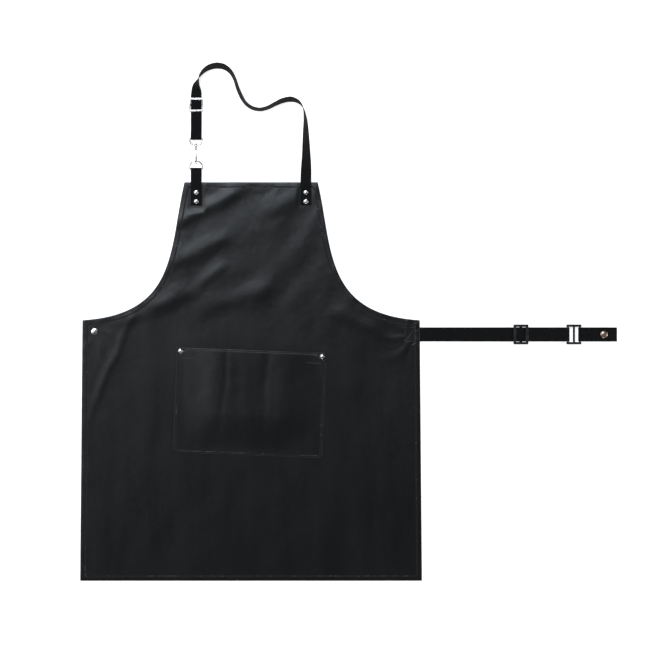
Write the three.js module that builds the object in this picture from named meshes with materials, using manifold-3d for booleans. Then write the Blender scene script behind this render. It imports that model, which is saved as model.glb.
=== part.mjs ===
// A black leatherette bib apron laid out flat on a surface, front face up.
// Millimetres. X runs across the apron, Y from its hem towards the neck, Z up off the surface.
// The origin is the middle of the bottom hem's underside, on the surface that the apron lies on.

import * as THREE from "three";
import { mergeVertices } from "three/addons/utils/BufferGeometryUtils.js";
import Module from "manifold-3d";

const wasm = await Module();
wasm.setup();

// ---------------------------------------------------------------- driving dimensions

const GAP = 0.3; // between two pieces that lie on each other

// Leatherette panel
const PANEL_LENGTH = 700;
const HEM_HALF_WIDTH = 300;
const WAIST_HALF_WIDTH = 296;
const WAIST_HEIGHT = 457;
const BIB_HALF_WIDTH = 116.5;
const LEATHER = 1.2;
const FOLD_DEPTH = 10; // how far the edge is turned under
const FOLD_HEIGHT = 1.5; // the turned layer and its glue line
const ARMHOLE_LOW_PULL = 169.5; // how far the armhole runs inwards before it turns up
const ARMHOLE_LOW_RISE = 11;
const ARMHOLE_TOP_FLARE = 27;
const ARMHOLE_TOP_DROP = 114;

// Pocket
const POCKET_WIDTH = 262;
const POCKET_HEIGHT = 184;
const POCKET_CENTRE_X = -3;
const POCKET_CENTRE_Y = 313;
const POCKET_TILT = -2.2; // degrees
const POCKET_MARGIN = 11; // the flat sewn rim
const POCKET_RISE = 7; // how far the front stands proud at the mouth
const POCKET_SLOPE = 26; // over which it rises

// Webbing
const WEBBING = 1.2;
const NECK_WEBBING_WIDTH = 19;
const WAIST_WEBBING_WIDTH = 25;
const STRAP_X = BIB_HALF_WIDTH - 20;
const STRAP_END_Y = PANEL_LENGTH - 39;
const WAIST_STRAP_Y = WAIST_HEIGHT - 24;
const STRAP_TAIL = 9; // how far a strap's sewn end reaches past the middle of its slider
const FRAME_SIDE_ROOM = 0.8; // beside the webbing, inside a slider or the waist loop

// Rivets and press studs
const RIVET_RADIUS = 4;
const RIVET_DOME = 1.5;
const SHANK_RADIUS = 1.2;
const SHANK_HOLE = SHANK_RADIUS + GAP;
const BACK_PLATE = 0.9;
const STRAP_RIVET_Y = [STRAP_END_Y + 22, STRAP_END_Y + 6];
const POCKET_RIVET_INSET = 6;
const STUD_X = 20 - WAIST_HALF_WIDTH;
const STUD_Y = WAIST_HEIGHT - 19;
const STUD_RADIUS = 5.6;
const STUD_HEAD_RADIUS = 2.1;
const SOCKET_MOUTH_RADIUS = 2.5;
const SNAP_CAP_RADIUS = 6.3;
const SNAP_SOCKET_HEIGHT = 3.2;

// Neck hardware
const WIRE_RADIUS = 1.2;
const RING_SIDE_ROOM = 0.5; // beside the webbing, inside a ring
const D_RING_DEPTH = 14.3;
const D_RING_BAR_Y = PANEL_LENGTH + 24;
const D_RING_BAR_Z = 3.4;
const HOOK_AXIS_Z = 6.5;
const HOOK_PLATE = 3.2;
const HOOK_WIDTH = 11.6;
const HOOK_WALL = 2.2;
const HOOK_CROWN = 7.14; // from the gate's pin to the top of the hook
const HOOK_ROOM = 1.4; // between the bight and the D-ring
const EYE_WIRE = 1.5;
const EYE_REACH = 18.4; // from the top of the hook to the eye's bar
const EYE_DEPTH = 12;
const BARREL_RADIUS = 3;
const BARREL_ROOM = 0.4; // between the hook and the eye's barrel
const POST_RADIUS = 1.5;
const GATE_LENGTH = 12.5;
const GATE_TIP = 4.6; // the gate's tip above the low end of the bight
const NOSE_ROOM = 0.6; // between the hook's nose and the gate's tip
const GATE_THICKNESS = 2.2;
const GATE_WIDTH = 1.6;
const GATE_PIN_RADIUS = 0.6;
const NECK_SLIDER_Y = PANEL_LENGTH + 137;
const NECK_SLIDER_LENGTH = 24;
const NECK_SLIDER_RAIL = 1.8;
const NECK_SLIDER_BAR = 3.2;
const NECK_SLIDER_THICKNESS = 1.4;

// Waist hardware
const WAIST_SEAM_OUT = 4.1; // how far outside the panel's side the strap folds
const WAIST_ROOT_LENGTH = 30;
const WAIST_SLIDER_REACH = 174.7; // from the fold
const WAIST_LOOP_REACH = 268.2;
const SNAP_REACH = 52.5; // from the waist loop
const GLIDE_LENGTH = 26;
const GLIDE_WIDTH = 35;
const GLIDE_BAR = 1.6;
const WAIST_SLIDER_BAR = 4.5;
const WAIST_SLIDER_MIDDLE_BAR = 5;
const LOOP_BAR_RADIUS = 1.5;
const LOOP_BAR_PITCH = 10.5;
const LOOP_MIDDLE_BAR = 3.5;
const TAB_END = 23; // past the snap

// ---------------------------------------------------------------- levels worked out from these

const PANEL_BACK = FOLD_HEIGHT;
const PANEL_FRONT = FOLD_HEIGHT + LEATHER;
const FIRST_LAYER = PANEL_FRONT + GAP + WEBBING / 2; // middle of webbing that lies on the panel
const SECOND_LAYER = FIRST_LAYER + GAP + WEBBING;
const FLOOR_LAYER = WEBBING / 2;
const BACK_PLATE_LOW = PANEL_BACK - GAP - BACK_PLATE;

const sideAtStrap = THREE.MathUtils.lerp(HEM_HALF_WIDTH, WAIST_HALF_WIDTH, WAIST_STRAP_Y / WAIST_HEIGHT);
const WAIST_SEAM_X = sideAtStrap + WAIST_SEAM_OUT;
const WAIST_SLIDER_X = WAIST_SEAM_X + WAIST_SLIDER_REACH;
const WAIST_LOOP_X = WAIST_SEAM_X + WAIST_LOOP_REACH;
const SNAP_X = WAIST_LOOP_X + SNAP_REACH;
const TAB_END_X = SNAP_X + TAB_END;

// The D-ring leans so that its bow meets the hook's axis; the hook and the eye follow from there.
const dRingReach = Math.sqrt(D_RING_DEPTH ** 2 - (HOOK_AXIS_Z - D_RING_BAR_Z) ** 2);
const bightLow = D_RING_BAR_Y + dRingReach - WIRE_RADIUS - HOOK_ROOM;
const hookLow = bightLow - HOOK_WALL;
const gateRootY = bightLow + GATE_TIP + GATE_LENGTH;
const hookTop = gateRootY + HOOK_CROWN;
const hookMiddle = HOOK_AXIS_Z + HOOK_WIDTH / 2 - HOOK_WALL / 2; // height of the hook's gated side
const eyeBarY = hookTop + EYE_REACH;
const barrelLow = hookTop + BARREL_ROOM;

// ---------------------------------------------------------------- solids

function solidOf(geometry) {
  const bare = geometry.clone();
  bare.deleteAttribute("normal");
  bare.deleteAttribute("uv");
  const merged = mergeVertices(bare, 1e-4);
  const vertProperties = merged.attributes.position.array;
  const triVerts = new Uint32Array(merged.index.array);
  return new wasm.Manifold(new wasm.Mesh({ numProp: 3, vertProperties, triVerts }));
}

function geometryOf(solid) {
  const mesh = solid.getMesh();
  const geometry = new THREE.BufferGeometry();
  geometry.setAttribute("position", new THREE.BufferAttribute(mesh.vertProperties, 3));
  geometry.setIndex(new THREE.BufferAttribute(mesh.triVerts, 1));
  geometry.computeVertexNormals();
  return geometry;
}

function join(first, ...others) {
  return geometryOf(others.reduce((sum, other) => sum.add(solidOf(other)), solidOf(first)));
}

function cut(first, ...others) {
  return geometryOf(others.reduce((sum, other) => sum.subtract(solidOf(other)), solidOf(first)));
}

// ---------------------------------------------------------------- shapes

function block(x, y, z) {
  const size = [x, y, z].map(([low, high]) => high - low);
  const middle = [x, y, z].map(([low, high]) => (low + high) / 2);
  return new THREE.BoxGeometry(...size).translate(...middle);
}

function upright(radius, x, y, low, high, sides = 16) {
  const rod = new THREE.CylinderGeometry(radius, radius, high - low, sides);
  return rod.rotateX(Math.PI / 2).translate(x, y, (low + high) / 2);
}

function crossRod(radius, x, y, z, sides = 12) {
  const rod = new THREE.CylinderGeometry(radius, radius, x[1] - x[0], sides);
  return rod.rotateZ(-Math.PI / 2).translate((x[0] + x[1]) / 2, y, z);
}

function lengthRod(radius, x, y, z, sides = 16) {
  const rod = new THREE.CylinderGeometry(radius, radius, y[1] - y[0], sides);
  return rod.translate(x, (y[0] + y[1]) / 2, z);
}

// A round solid standing on Z at (x, y); its profile is [radius, height] pairs from the axis to the axis.
function turned(profile, x, y, sides = 16) {
  const points = profile.map(([radius, height]) => new THREE.Vector2(radius, height));
  return new THREE.LatheGeometry(points, sides).rotateX(Math.PI / 2).translate(x, y, 0);
}

// A round wire along a smooth line through the points.
function wire(points, radius, steps, sides = 10) {
  const section = new THREE.Shape().absarc(0, 0, radius, 0, 2 * Math.PI);
  const extrudePath = new THREE.CatmullRomCurve3(points.map((p) => new THREE.Vector3(...p)));
  return new THREE.ExtrudeGeometry(section, { steps, extrudePath, curveSegments: sides / 2 });
}

// A flat strap along a route of [x, y, z, turn]. Its width is level, then turned in degrees about its line.
// Where the line stands upright, the width keeps the direction that it had.
function ribbon(route, width, thickness, perSpan) {
  const points = route.map(([x, y, z]) => new THREE.Vector3(x, y, z));
  const line = new THREE.CatmullRomCurve3(points, false, "centripetal");
  const steps = (route.length - 1) * perSpan;
  const strap = new THREE.BoxGeometry(width, thickness, 1, 1, 1, steps);
  const runsAlongX = Math.abs(line.getTangent(0).x) > 0.5;
  const carried = runsAlongX ? new THREE.Vector3(0, 1, 0) : new THREE.Vector3(1, 0, 0);
  const sections = [];
  for (let k = 0; k <= steps; k += 1) {
    const along = line.getTangent(k / steps);
    const level = new THREE.Vector3(along.y, -along.x, 0);
    if (level.length() > 0.01) carried.copy(level.multiplyScalar(Math.sign(level.dot(carried))).normalize());
    const span = Math.min(Math.floor(k / perSpan), route.length - 2);
    const share = k / perSpan - span;
    const turn = THREE.MathUtils.lerp(route[span][3], route[span + 1][3], share);
    const side = carried.clone().applyAxisAngle(along, THREE.MathUtils.degToRad(turn));
    const up = new THREE.Vector3().crossVectors(along, side);
    sections.push({ middle: line.getPoint(k / steps), side, up });
  }
  const place = strap.attributes.position;
  for (let i = 0; i < place.count; i += 1) {
    const { middle, side, up } = sections[Math.round((place.getZ(i) + 0.5) * steps)];
    const point = middle.clone().addScaledVector(side, place.getX(i));
    point.addScaledVector(up, place.getY(i));
    place.setXYZ(i, point.x, point.y, point.z);
  }
  return strap;
}

// Half a turn of webbing round a bar, as route points in the plane of (forward, Z).
// It starts above the bar and ends below it; forward is 1 where it bulges towards the higher coordinate.
function turnRound(barAlong, barZ, radius, forward, point) {
  return [90, 45, 0, -45, -90].map((degrees) => {
    const angle = THREE.MathUtils.degToRad(degrees);
    return point(barAlong + forward * radius * Math.cos(angle), barZ + radius * Math.sin(angle));
  });
}

// ---------------------------------------------------------------- finishes

const finishes = {
  leather: { color: 0x17181b, roughness: 0.45, metalness: 0 },
  webbing: { color: 0x101012, roughness: 0.85, metalness: 0 },
  nickel: { color: 0xd8d8d4, roughness: 0.25, metalness: 1 },
  copper: { color: 0xc9a892, roughness: 0.35, metalness: 1 },
  plastic: { color: 0x111113, roughness: 0.4, metalness: 0 },
};

// Inside the group Y is measured from the hem's edge; the group moves the fold's middle to the origin.
const apron = new THREE.Group();
apron.position.y = -FOLD_DEPTH / 2;

function add(name, geometry, finish) {
  const mesh = new THREE.Mesh(geometry, new THREE.MeshStandardMaterial(finishes[finish]));
  mesh.name = name;
  apron.add(mesh);
  return mesh;
}

// ---------------------------------------------------------------- panel

function panelOutline() {
  const shape = new THREE.Shape();
  const lowX = WAIST_HALF_WIDTH - ARMHOLE_LOW_PULL;
  const lowY = WAIST_HEIGHT + ARMHOLE_LOW_RISE;
  const topX = BIB_HALF_WIDTH + ARMHOLE_TOP_FLARE;
  const topY = PANEL_LENGTH - ARMHOLE_TOP_DROP;
  shape.moveTo(-HEM_HALF_WIDTH, 0);
  shape.lineTo(HEM_HALF_WIDTH, 0);
  shape.lineTo(WAIST_HALF_WIDTH, WAIST_HEIGHT);
  shape.bezierCurveTo(lowX, lowY, topX, topY, BIB_HALF_WIDTH, PANEL_LENGTH);
  shape.lineTo(-BIB_HALF_WIDTH, PANEL_LENGTH);
  shape.bezierCurveTo(-topX, topY, -lowX, lowY, -WAIST_HALF_WIDTH, WAIST_HEIGHT);
  return shape.getPoints(18);
}

// The outline moved inwards by a distance, each corner kept sharp.
function inset(points, distance) {
  const count = points.length;
  const normals = points.map((point, i) => {
    const edge = points[(i + 1) % count].clone().sub(point).normalize();
    return new THREE.Vector2(-edge.y, edge.x);
  });
  return points.map((point, i) => {
    const before = normals[(i + count - 1) % count];
    const bisector = before.clone().add(normals[i]);
    const reach = distance / (1 + before.dot(normals[i]));
    return point.clone().addScaledVector(bisector, reach);
  });
}

function slab(points, low, high) {
  const settings = { depth: high - low, bevelEnabled: false };
  return new THREE.ExtrudeGeometry(new THREE.Shape(points), settings).translate(0, 0, low);
}

const pocketPlace = new THREE.Matrix4()
  .makeTranslation(POCKET_CENTRE_X, POCKET_CENTRE_Y, 0)
  .multiply(new THREE.Matrix4().makeRotationZ(THREE.MathUtils.degToRad(POCKET_TILT)));

const pocketRivets = [-1, 1].map((side) => {
  const x = side * (POCKET_WIDTH / 2 - POCKET_RIVET_INSET);
  return new THREE.Vector3(x, POCKET_HEIGHT / 2 - POCKET_RIVET_INSET, 0).applyMatrix4(pocketPlace);
});

const strapRivets = [-1, 1].flatMap((side) => STRAP_RIVET_Y.map((y) => ({ x: side * STRAP_X, y })));

function shankHoles(places, low, high) {
  return places.map(({ x, y }) => upright(SHANK_HOLE, x, y, low, high));
}

function buildPanel() {
  const outline = panelOutline();
  const room = WAIST_WEBBING_WIDTH / 2 + 2 * GAP;
  const rootNotch = block(
    [sideAtStrap - 2 * FOLD_DEPTH, sideAtStrap + FOLD_DEPTH],
    [WAIST_STRAP_Y - room, WAIST_STRAP_Y + room],
    [-1, PANEL_BACK],
  );
  const holes = [...pocketRivets, ...strapRivets, { x: STUD_X, y: STUD_Y }];
  const panel = cut(
    slab(outline, 0, PANEL_FRONT),
    slab(inset(outline, FOLD_DEPTH), -1, PANEL_BACK),
    rootNotch,
    ...shankHoles(holes, -1, PANEL_FRONT + 1),
  );
  add("apron_panel", panel, "leather");
}

// ---------------------------------------------------------------- pocket

function rise(distance) {
  const share = THREE.MathUtils.clamp((distance - POCKET_MARGIN) / POCKET_SLOPE, 0, 1);
  return share * share * (3 - 2 * share);
}

function buildPocket() {
  const front = new THREE.BoxGeometry(POCKET_WIDTH, POCKET_HEIGHT, LEATHER, 24, 10, 1);
  const place = front.attributes.position;
  const base = PANEL_FRONT + GAP + LEATHER / 2;
  for (let i = 0; i < place.count; i += 1) {
    const x = place.getX(i);
    const y = place.getY(i);
    const fromSide = POCKET_WIDTH / 2 - Math.abs(x);
    const fromBottom = y + POCKET_HEIGHT / 2;
    const proud = POCKET_RISE * rise(fromSide) * rise(fromBottom);
    place.setZ(i, place.getZ(i) + base + proud);
  }
  front.applyMatrix4(pocketPlace);
  add("pocket", cut(front, ...shankHoles(pocketRivets, 0, 2 * base)), "leather");
}

// ---------------------------------------------------------------- rivets and press studs

function rivet(name, x, y, seat) {
  const capLow = seat + GAP;
  const backHigh = BACK_PLATE_LOW + BACK_PLATE;
  const profile = [
    [0, BACK_PLATE_LOW],
    [RIVET_RADIUS - 0.8, BACK_PLATE_LOW],
    [RIVET_RADIUS - 0.5, backHigh],
    [SHANK_RADIUS, backHigh],
    [SHANK_RADIUS, capLow],
    [RIVET_RADIUS - 0.3, capLow],
    [RIVET_RADIUS, capLow + 0.4],
    [RIVET_RADIUS * 0.72, capLow + 0.78 * RIVET_DOME],
    [RIVET_RADIUS * 0.36, capLow + 0.96 * RIVET_DOME],
    [0, capLow + RIVET_DOME],
  ];
  add(name, turned(profile, x, y), "nickel");
}

function buildRivets() {
  const tabTop = SECOND_LAYER + WEBBING / 2;
  const strapTop = FIRST_LAYER + WEBBING / 2;
  const pocketTop = PANEL_FRONT + GAP + LEATHER;
  ["upper", "lower"].forEach((level, i) => {
    rivet(`neck_tab_rivet_${level}`, -STRAP_X, STRAP_RIVET_Y[i], tabTop);
    rivet(`neck_strap_rivet_${level}`, STRAP_X, STRAP_RIVET_Y[i], strapTop);
  });
  ["left", "right"].forEach((side, i) => {
    rivet(`pocket_rivet_${side}`, pocketRivets[i].x, pocketRivets[i].y, pocketTop);
  });
}

function buildPanelStud() {
  const seat = PANEL_FRONT + GAP;
  const head = STUD_HEAD_RADIUS;
  const stud = [
    [SHANK_HOLE, seat],
    [STUD_RADIUS - 0.3, seat],
    [STUD_RADIUS, seat + 0.4],
    [STUD_RADIUS - 0.5, seat + 0.9],
    [head - 0.3, seat + 0.9],
    [head, seat + 2],
    [head - 0.4, seat + 2.6],
    [0, seat + 2.7],
    [0, seat + 2],
    [SHANK_HOLE, seat + 2],
    [SHANK_HOLE, seat],
  ];
  add("waist_stud", turned(stud, STUD_X, STUD_Y), "nickel");
  const post = [
    [0, BACK_PLATE_LOW],
    [STUD_RADIUS - 0.5, BACK_PLATE_LOW],
    [STUD_RADIUS - 0.3, BACK_PLATE_LOW + BACK_PLATE],
    [SHANK_RADIUS, BACK_PLATE_LOW + BACK_PLATE],
    [SHANK_RADIUS, seat + 2 - GAP],
    [0, seat + 2 - GAP],
  ];
  add("waist_stud_post", turned(post, STUD_X, STUD_Y), "nickel");
}

// ---------------------------------------------------------------- neck strap

// The height of a strap's middle above the surface when it stands on its edge at a turn.
function standing(turn) {
  const angle = THREE.MathUtils.degToRad(turn);
  return (NECK_WEBBING_WIDTH / 2) * Math.sin(angle) + FLOOR_LAYER * Math.abs(Math.cos(angle)) + GAP;
}

const sliderFloor = WEBBING + GAP; // underside of both sliders' middle bars
const neckFront = sliderFloor + NECK_SLIDER_THICKNESS + GAP + WEBBING / 2;
const waistFront = sliderFloor + GLIDE_BAR + GAP + WEBBING / 2;

// From the right rivets up to the crest of the loop, across it and down to the slider, as
// [x, height above the panel, turn].
const neckRoute = [
  [97.3, 45.7, 38],
  [97.0, 68.7, 50],
  [96.6, 90.7, 60],
  [95.6, 114, 74],
  [91.5, 132.1, 88],
  [83.6, 142, 100],
  [70, 146.4, 110],
  [55.4, 143.8, 108],
  [41.4, 137.4, 103],
  [30.4, 131.8, 101],
  [16.2, 128.3, 100],
  [1.8, 131.3, 102],
  [-9, 139.2, 104],
  [-16.2, 150, 108],
  [-23.4, 166.2, 108],
  [-28.7, 182.4, 106],
  [-36.1, 195.1, 108],
  [-46.6, 203, 112],
  [-59.3, 205.5, 114],
  [-71.8, 203, 110],
  [-82.5, 196.5, 102],
  [-90.5, 186.5, 90],
  [-95, 174, 55],
].map(([x, y, turn]) => [x, PANEL_LENGTH + y, standing(turn), turn]);

function buildNeckStrap() {
  const eyeTurn = EYE_WIRE + GAP + WEBBING / 2;
  const flat = (y, z) => [-STRAP_X, y, z, 0];
  const route = [
    [STRAP_X, STRAP_END_Y, FIRST_LAYER, 0],
    [STRAP_X, PANEL_LENGTH - 8, FIRST_LAYER, 0],
    [STRAP_X, PANEL_LENGTH + 6, FIRST_LAYER, 2],
    [STRAP_X + 0.4, PANEL_LENGTH + 22, standing(14), 14],
    ...neckRoute,
    [-STRAP_X + 0.3, PANEL_LENGTH + 162, neckFront, 18],
    flat(NECK_SLIDER_Y + 14, neckFront),
    flat(NECK_SLIDER_Y, neckFront),
    flat(eyeBarY + 34, neckFront),
    flat(eyeBarY + 17, neckFront),
    flat(eyeBarY + 9, neckFront + 2.4),
    ...turnRound(eyeBarY, HOOK_AXIS_Z, eyeTurn, -1, flat),
    flat(eyeBarY + 12, HOOK_AXIS_Z - eyeTurn - 2),
    flat(eyeBarY + 21, FLOOR_LAYER + GAP),
    flat(eyeBarY + 39, FLOOR_LAYER),
    flat(NECK_SLIDER_Y + STRAP_TAIL, FLOOR_LAYER),
  ];
  const strap = ribbon(route, NECK_WEBBING_WIDTH, WEBBING, 3);
  const holes = shankHoles(strapRivets.slice(2), FIRST_LAYER - 2, FIRST_LAYER + 2);
  add("neck_strap", cut(strap, ...holes), "webbing");
}

// The short tab that holds the D-ring: two layers on the bib, folded round the ring's straight bar.
function buildNeckTab() {
  const radius = WIRE_RADIUS + GAP + WEBBING / 2;
  const flat = (y, z) => [-STRAP_X, y, z, 0];
  const route = [
    flat(STRAP_END_Y, SECOND_LAYER),
    flat(PANEL_LENGTH - 8, SECOND_LAYER),
    flat(PANEL_LENGTH + 8, SECOND_LAYER + 0.3),
    ...turnRound(D_RING_BAR_Y, D_RING_BAR_Z, radius, 1, flat),
    flat(PANEL_LENGTH + 12, D_RING_BAR_Z - radius + 0.8),
    flat(PANEL_LENGTH + 4, FIRST_LAYER),
    flat(PANEL_LENGTH - 8, FIRST_LAYER),
    flat(STRAP_END_Y, FIRST_LAYER),
  ];
  const tab = ribbon(route, NECK_WEBBING_WIDTH, WEBBING, 3);
  const holes = shankHoles(strapRivets.slice(0, 2), FIRST_LAYER - 2, SECOND_LAYER + 2);
  add("neck_tab", cut(tab, ...holes), "webbing");
}

// A slider's frame, centred on the origin along its strap, which runs along Y: rails either side, outer bars
// above the strap and one middle bar below it.
function sliderFrame({ strapWidth, rail, length, bar, middleBar, thickness, front }) {
  const inner = strapWidth / 2 + FRAME_SIDE_ROOM;
  const outer = inner + rail;
  const half = length / 2;
  const upperLow = front + WEBBING / 2 + GAP;
  const upperHigh = upperLow + thickness;
  const rails = [-1, 1].map((side) => {
    const x = [side * inner, side * outer].sort((a, b) => a - b);
    return block(x, [-half, half], [sliderFloor, upperHigh]);
  });
  const bars = [-1, 1].map((side) => {
    const y = [side * (half - bar), side * half].sort((a, b) => a - b);
    return block([-outer + 0.1, outer - 0.1], y, [upperLow, upperHigh]);
  });
  const middle = block(
    [-outer + 0.1, outer - 0.1],
    [-middleBar / 2, middleBar / 2],
    [sliderFloor, sliderFloor + thickness],
  );
  return join(rails[0], rails[1], ...bars, middle);
}

function buildNeckSlider() {
  const frame = sliderFrame({
    strapWidth: NECK_WEBBING_WIDTH,
    rail: NECK_SLIDER_RAIL,
    length: NECK_SLIDER_LENGTH,
    bar: NECK_SLIDER_BAR,
    middleBar: NECK_SLIDER_BAR,
    thickness: NECK_SLIDER_THICKNESS,
    front: neckFront,
  });
  add("neck_slider", frame.translate(-STRAP_X, NECK_SLIDER_Y, 0), "nickel");
}

// ---------------------------------------------------------------- D-ring, swivel eye and snap hook

// A D of round wire: a straight bar along X at the origin, and a bow that reaches along Y by depth.
function wireD(radius, depth) {
  const half = NECK_WEBBING_WIDTH / 2 + RING_SIDE_ROOM + radius;
  const leg = 0.3 * depth;
  const points = [[-half, -0.2, 0]];
  for (let degrees = 180; degrees >= 0; degrees -= 22.5) {
    const angle = THREE.MathUtils.degToRad(degrees);
    points.push([half * Math.cos(angle), leg + (depth - leg) * Math.sin(angle), 0]);
  }
  points.push([half, -0.2, 0]);
  const bar = crossRod(radius, [-half - 0.8 * radius, half + 0.8 * radius], 0, 0);
  return join(wire(points, radius, 24), bar);
}

function buildDRing() {
  const ring = add("d_ring", wireD(WIRE_RADIUS, D_RING_DEPTH), "nickel");
  ring.rotation.x = Math.asin((HOOK_AXIS_Z - D_RING_BAR_Z) / D_RING_DEPTH);
  ring.position.set(-STRAP_X, D_RING_BAR_Y, D_RING_BAR_Z);
}

// The swivel eye: a D with its bar in the strap's end loop, and a bored barrel below its bow.
function buildHookEye() {
  const bow = wireD(EYE_WIRE, EYE_DEPTH).rotateZ(Math.PI);
  const barrel = lengthRod(BARREL_RADIUS, 0, [barrelLow - eyeBarY, EYE_WIRE - EYE_DEPTH], 0);
  const bore = lengthRod(POST_RADIUS + GAP, 0, [-2 * EYE_DEPTH, 2 * EYE_WIRE - EYE_DEPTH], 0);
  const eye = cut(join(bow, barrel), bore);
  add("hook_eye", eye.translate(-STRAP_X, eyeBarY, HOOK_AXIS_Z), "nickel");
}

// An outline with straight sides and round ends, in a plane of (along, across).
function longRound(alongLow, alongHigh, halfWidth) {
  const shape = new THREE.Shape();
  shape.absarc(alongLow + halfWidth, 0, halfWidth, Math.PI / 2, (3 * Math.PI) / 2);
  shape.absarc(alongHigh - halfWidth, 0, halfWidth, -Math.PI / 2, Math.PI / 2);
  return shape.getPoints(10);
}

// Turns a plate drawn in (along, across) into one that stands in the plane of Y and Z, centred on X = 0.
function standUp(geometry, thickness) {
  const turn = new THREE.Matrix4().set(0, 0, 1, -thickness / 2, 1, 0, 0, 0, 0, 1, 0, 0, 0, 0, 0, 1);
  return geometry.applyMatrix4(turn);
}

function buildSnapHook() {
  const innerHalf = HOOK_WIDTH / 2 - HOOK_WALL;
  const plateOutline = longRound(hookLow, hookTop, HOOK_WIDTH / 2);
  const bightOutline = longRound(bightLow, gateRootY + 1.6, innerHalf);
  const plate = standUp(slab(plateOutline, 0, HOOK_PLATE), HOOK_PLATE);
  const bight = standUp(slab(bightOutline, -1, HOOK_PLATE + 1), HOOK_PLATE);
  const mouth = block(
    [-HOOK_PLATE, HOOK_PLATE],
    [bightLow + GATE_TIP - NOSE_ROOM, gateRootY - GATE_THICKNESS],
    [innerHalf - 1, HOOK_WIDTH],
  );
  const gateSlot = block(
    [-GATE_WIDTH / 2 - GAP, GATE_WIDTH / 2 + GAP],
    [bightLow + GATE_TIP - 2 * NOSE_ROOM, gateRootY + 1.7],
    [innerHalf - 1, HOOK_WIDTH],
  );
  const across = [-HOOK_PLATE, HOOK_PLATE];
  const pinHole = crossRod(GATE_PIN_RADIUS + GAP, across, gateRootY, hookMiddle - HOOK_AXIS_Z);
  const headLow = eyeBarY - EYE_DEPTH + EYE_WIRE + GAP;
  const post = lengthRod(POST_RADIUS, 0, [hookTop - 1, headLow + 0.2], 0);
  const head = lengthRod(BARREL_RADIUS - 0.3, 0, [headLow, headLow + 1.2], 0);
  const hook = join(cut(plate, bight, mouth, gateSlot, pinHole), post, head);
  add("snap_hook", hook.translate(-STRAP_X, 0, HOOK_AXIS_Z), "nickel");
}

function buildGate() {
  const halfWidth = GATE_WIDTH / 2;
  const halfThick = GATE_THICKNESS / 2;
  const across = [-halfWidth, halfWidth];
  const knobY = gateRootY - 0.6 * GATE_LENGTH;
  const tongue = block(across, [gateRootY - GATE_LENGTH, gateRootY], [-halfThick, halfThick]);
  const knuckle = crossRod(halfThick, across, gateRootY, 0);
  const stem = upright(0.7, 0, knobY, 0, halfThick + 1.4, 10);
  const knob = upright(1.4, 0, knobY, halfThick + 1.2, halfThick + 2.2, 12);
  const pinBore = crossRod(GATE_PIN_RADIUS + GAP / 3, [-HOOK_PLATE, HOOK_PLATE], gateRootY, 0);
  const gate = cut(join(tongue, knuckle, stem, knob), pinBore);
  add("hook_gate", gate.translate(-STRAP_X, 0, hookMiddle), "nickel");
  const reach = HOOK_PLATE / 2;
  const pin = crossRod(GATE_PIN_RADIUS, [-STRAP_X - reach, -STRAP_X + reach], gateRootY, hookMiddle);
  add("hook_gate_pin", pin, "nickel");
}

// ---------------------------------------------------------------- waist strap

function buildWaistStrap() {
  const halfWidth = WAIST_WEBBING_WIDTH / 2;
  const y = [WAIST_STRAP_Y - halfWidth, WAIST_STRAP_Y + halfWidth];
  const root = block([WAIST_SEAM_X - WAIST_ROOT_LENGTH, WAIST_SEAM_X - GAP], y, [0, WEBBING]);
  add("waist_strap_root", root, "webbing");
  const turn = LOOP_BAR_RADIUS + GAP + WEBBING / 2;
  const barZ = turn + WEBBING / 2;
  const barX = WAIST_LOOP_X - LOOP_BAR_PITCH;
  const flat = (x, z) => [x, WAIST_STRAP_Y, z, 0];
  const route = [
    flat(WAIST_SEAM_X + GAP, FLOOR_LAYER),
    flat(WAIST_SEAM_X + 25, FLOOR_LAYER),
    flat(WAIST_SEAM_X + 50, FLOOR_LAYER + 0.6),
    flat(WAIST_SLIDER_X - 85, waistFront - 0.3),
    flat(WAIST_SLIDER_X - 70, waistFront),
    flat(WAIST_SLIDER_X, waistFront),
    flat(WAIST_SLIDER_X + 56, waistFront),
    flat(barX - 14, waistFront + 0.3),
    ...turnRound(barX, barZ, turn, 1, flat),
    flat(barX - 4, FLOOR_LAYER + GAP / 2),
    flat(barX - 16, FLOOR_LAYER + GAP / 2),
    flat(WAIST_SLIDER_X, FLOOR_LAYER),
    flat(WAIST_SLIDER_X - STRAP_TAIL, FLOOR_LAYER),
  ];
  add("waist_strap", ribbon(route, WAIST_WEBBING_WIDTH, WEBBING, 3), "webbing");
}

function buildWaistSlider() {
  const frame = sliderFrame({
    strapWidth: WAIST_WEBBING_WIDTH,
    rail: (GLIDE_WIDTH - WAIST_WEBBING_WIDTH) / 2 - FRAME_SIDE_ROOM,
    length: GLIDE_LENGTH,
    bar: WAIST_SLIDER_BAR,
    middleBar: WAIST_SLIDER_MIDDLE_BAR,
    thickness: GLIDE_BAR,
    front: waistFront,
  });
  add("waist_slider", frame.rotateZ(Math.PI / 2).translate(WAIST_SLIDER_X, WAIST_STRAP_Y, 0), "plastic");
}

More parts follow.
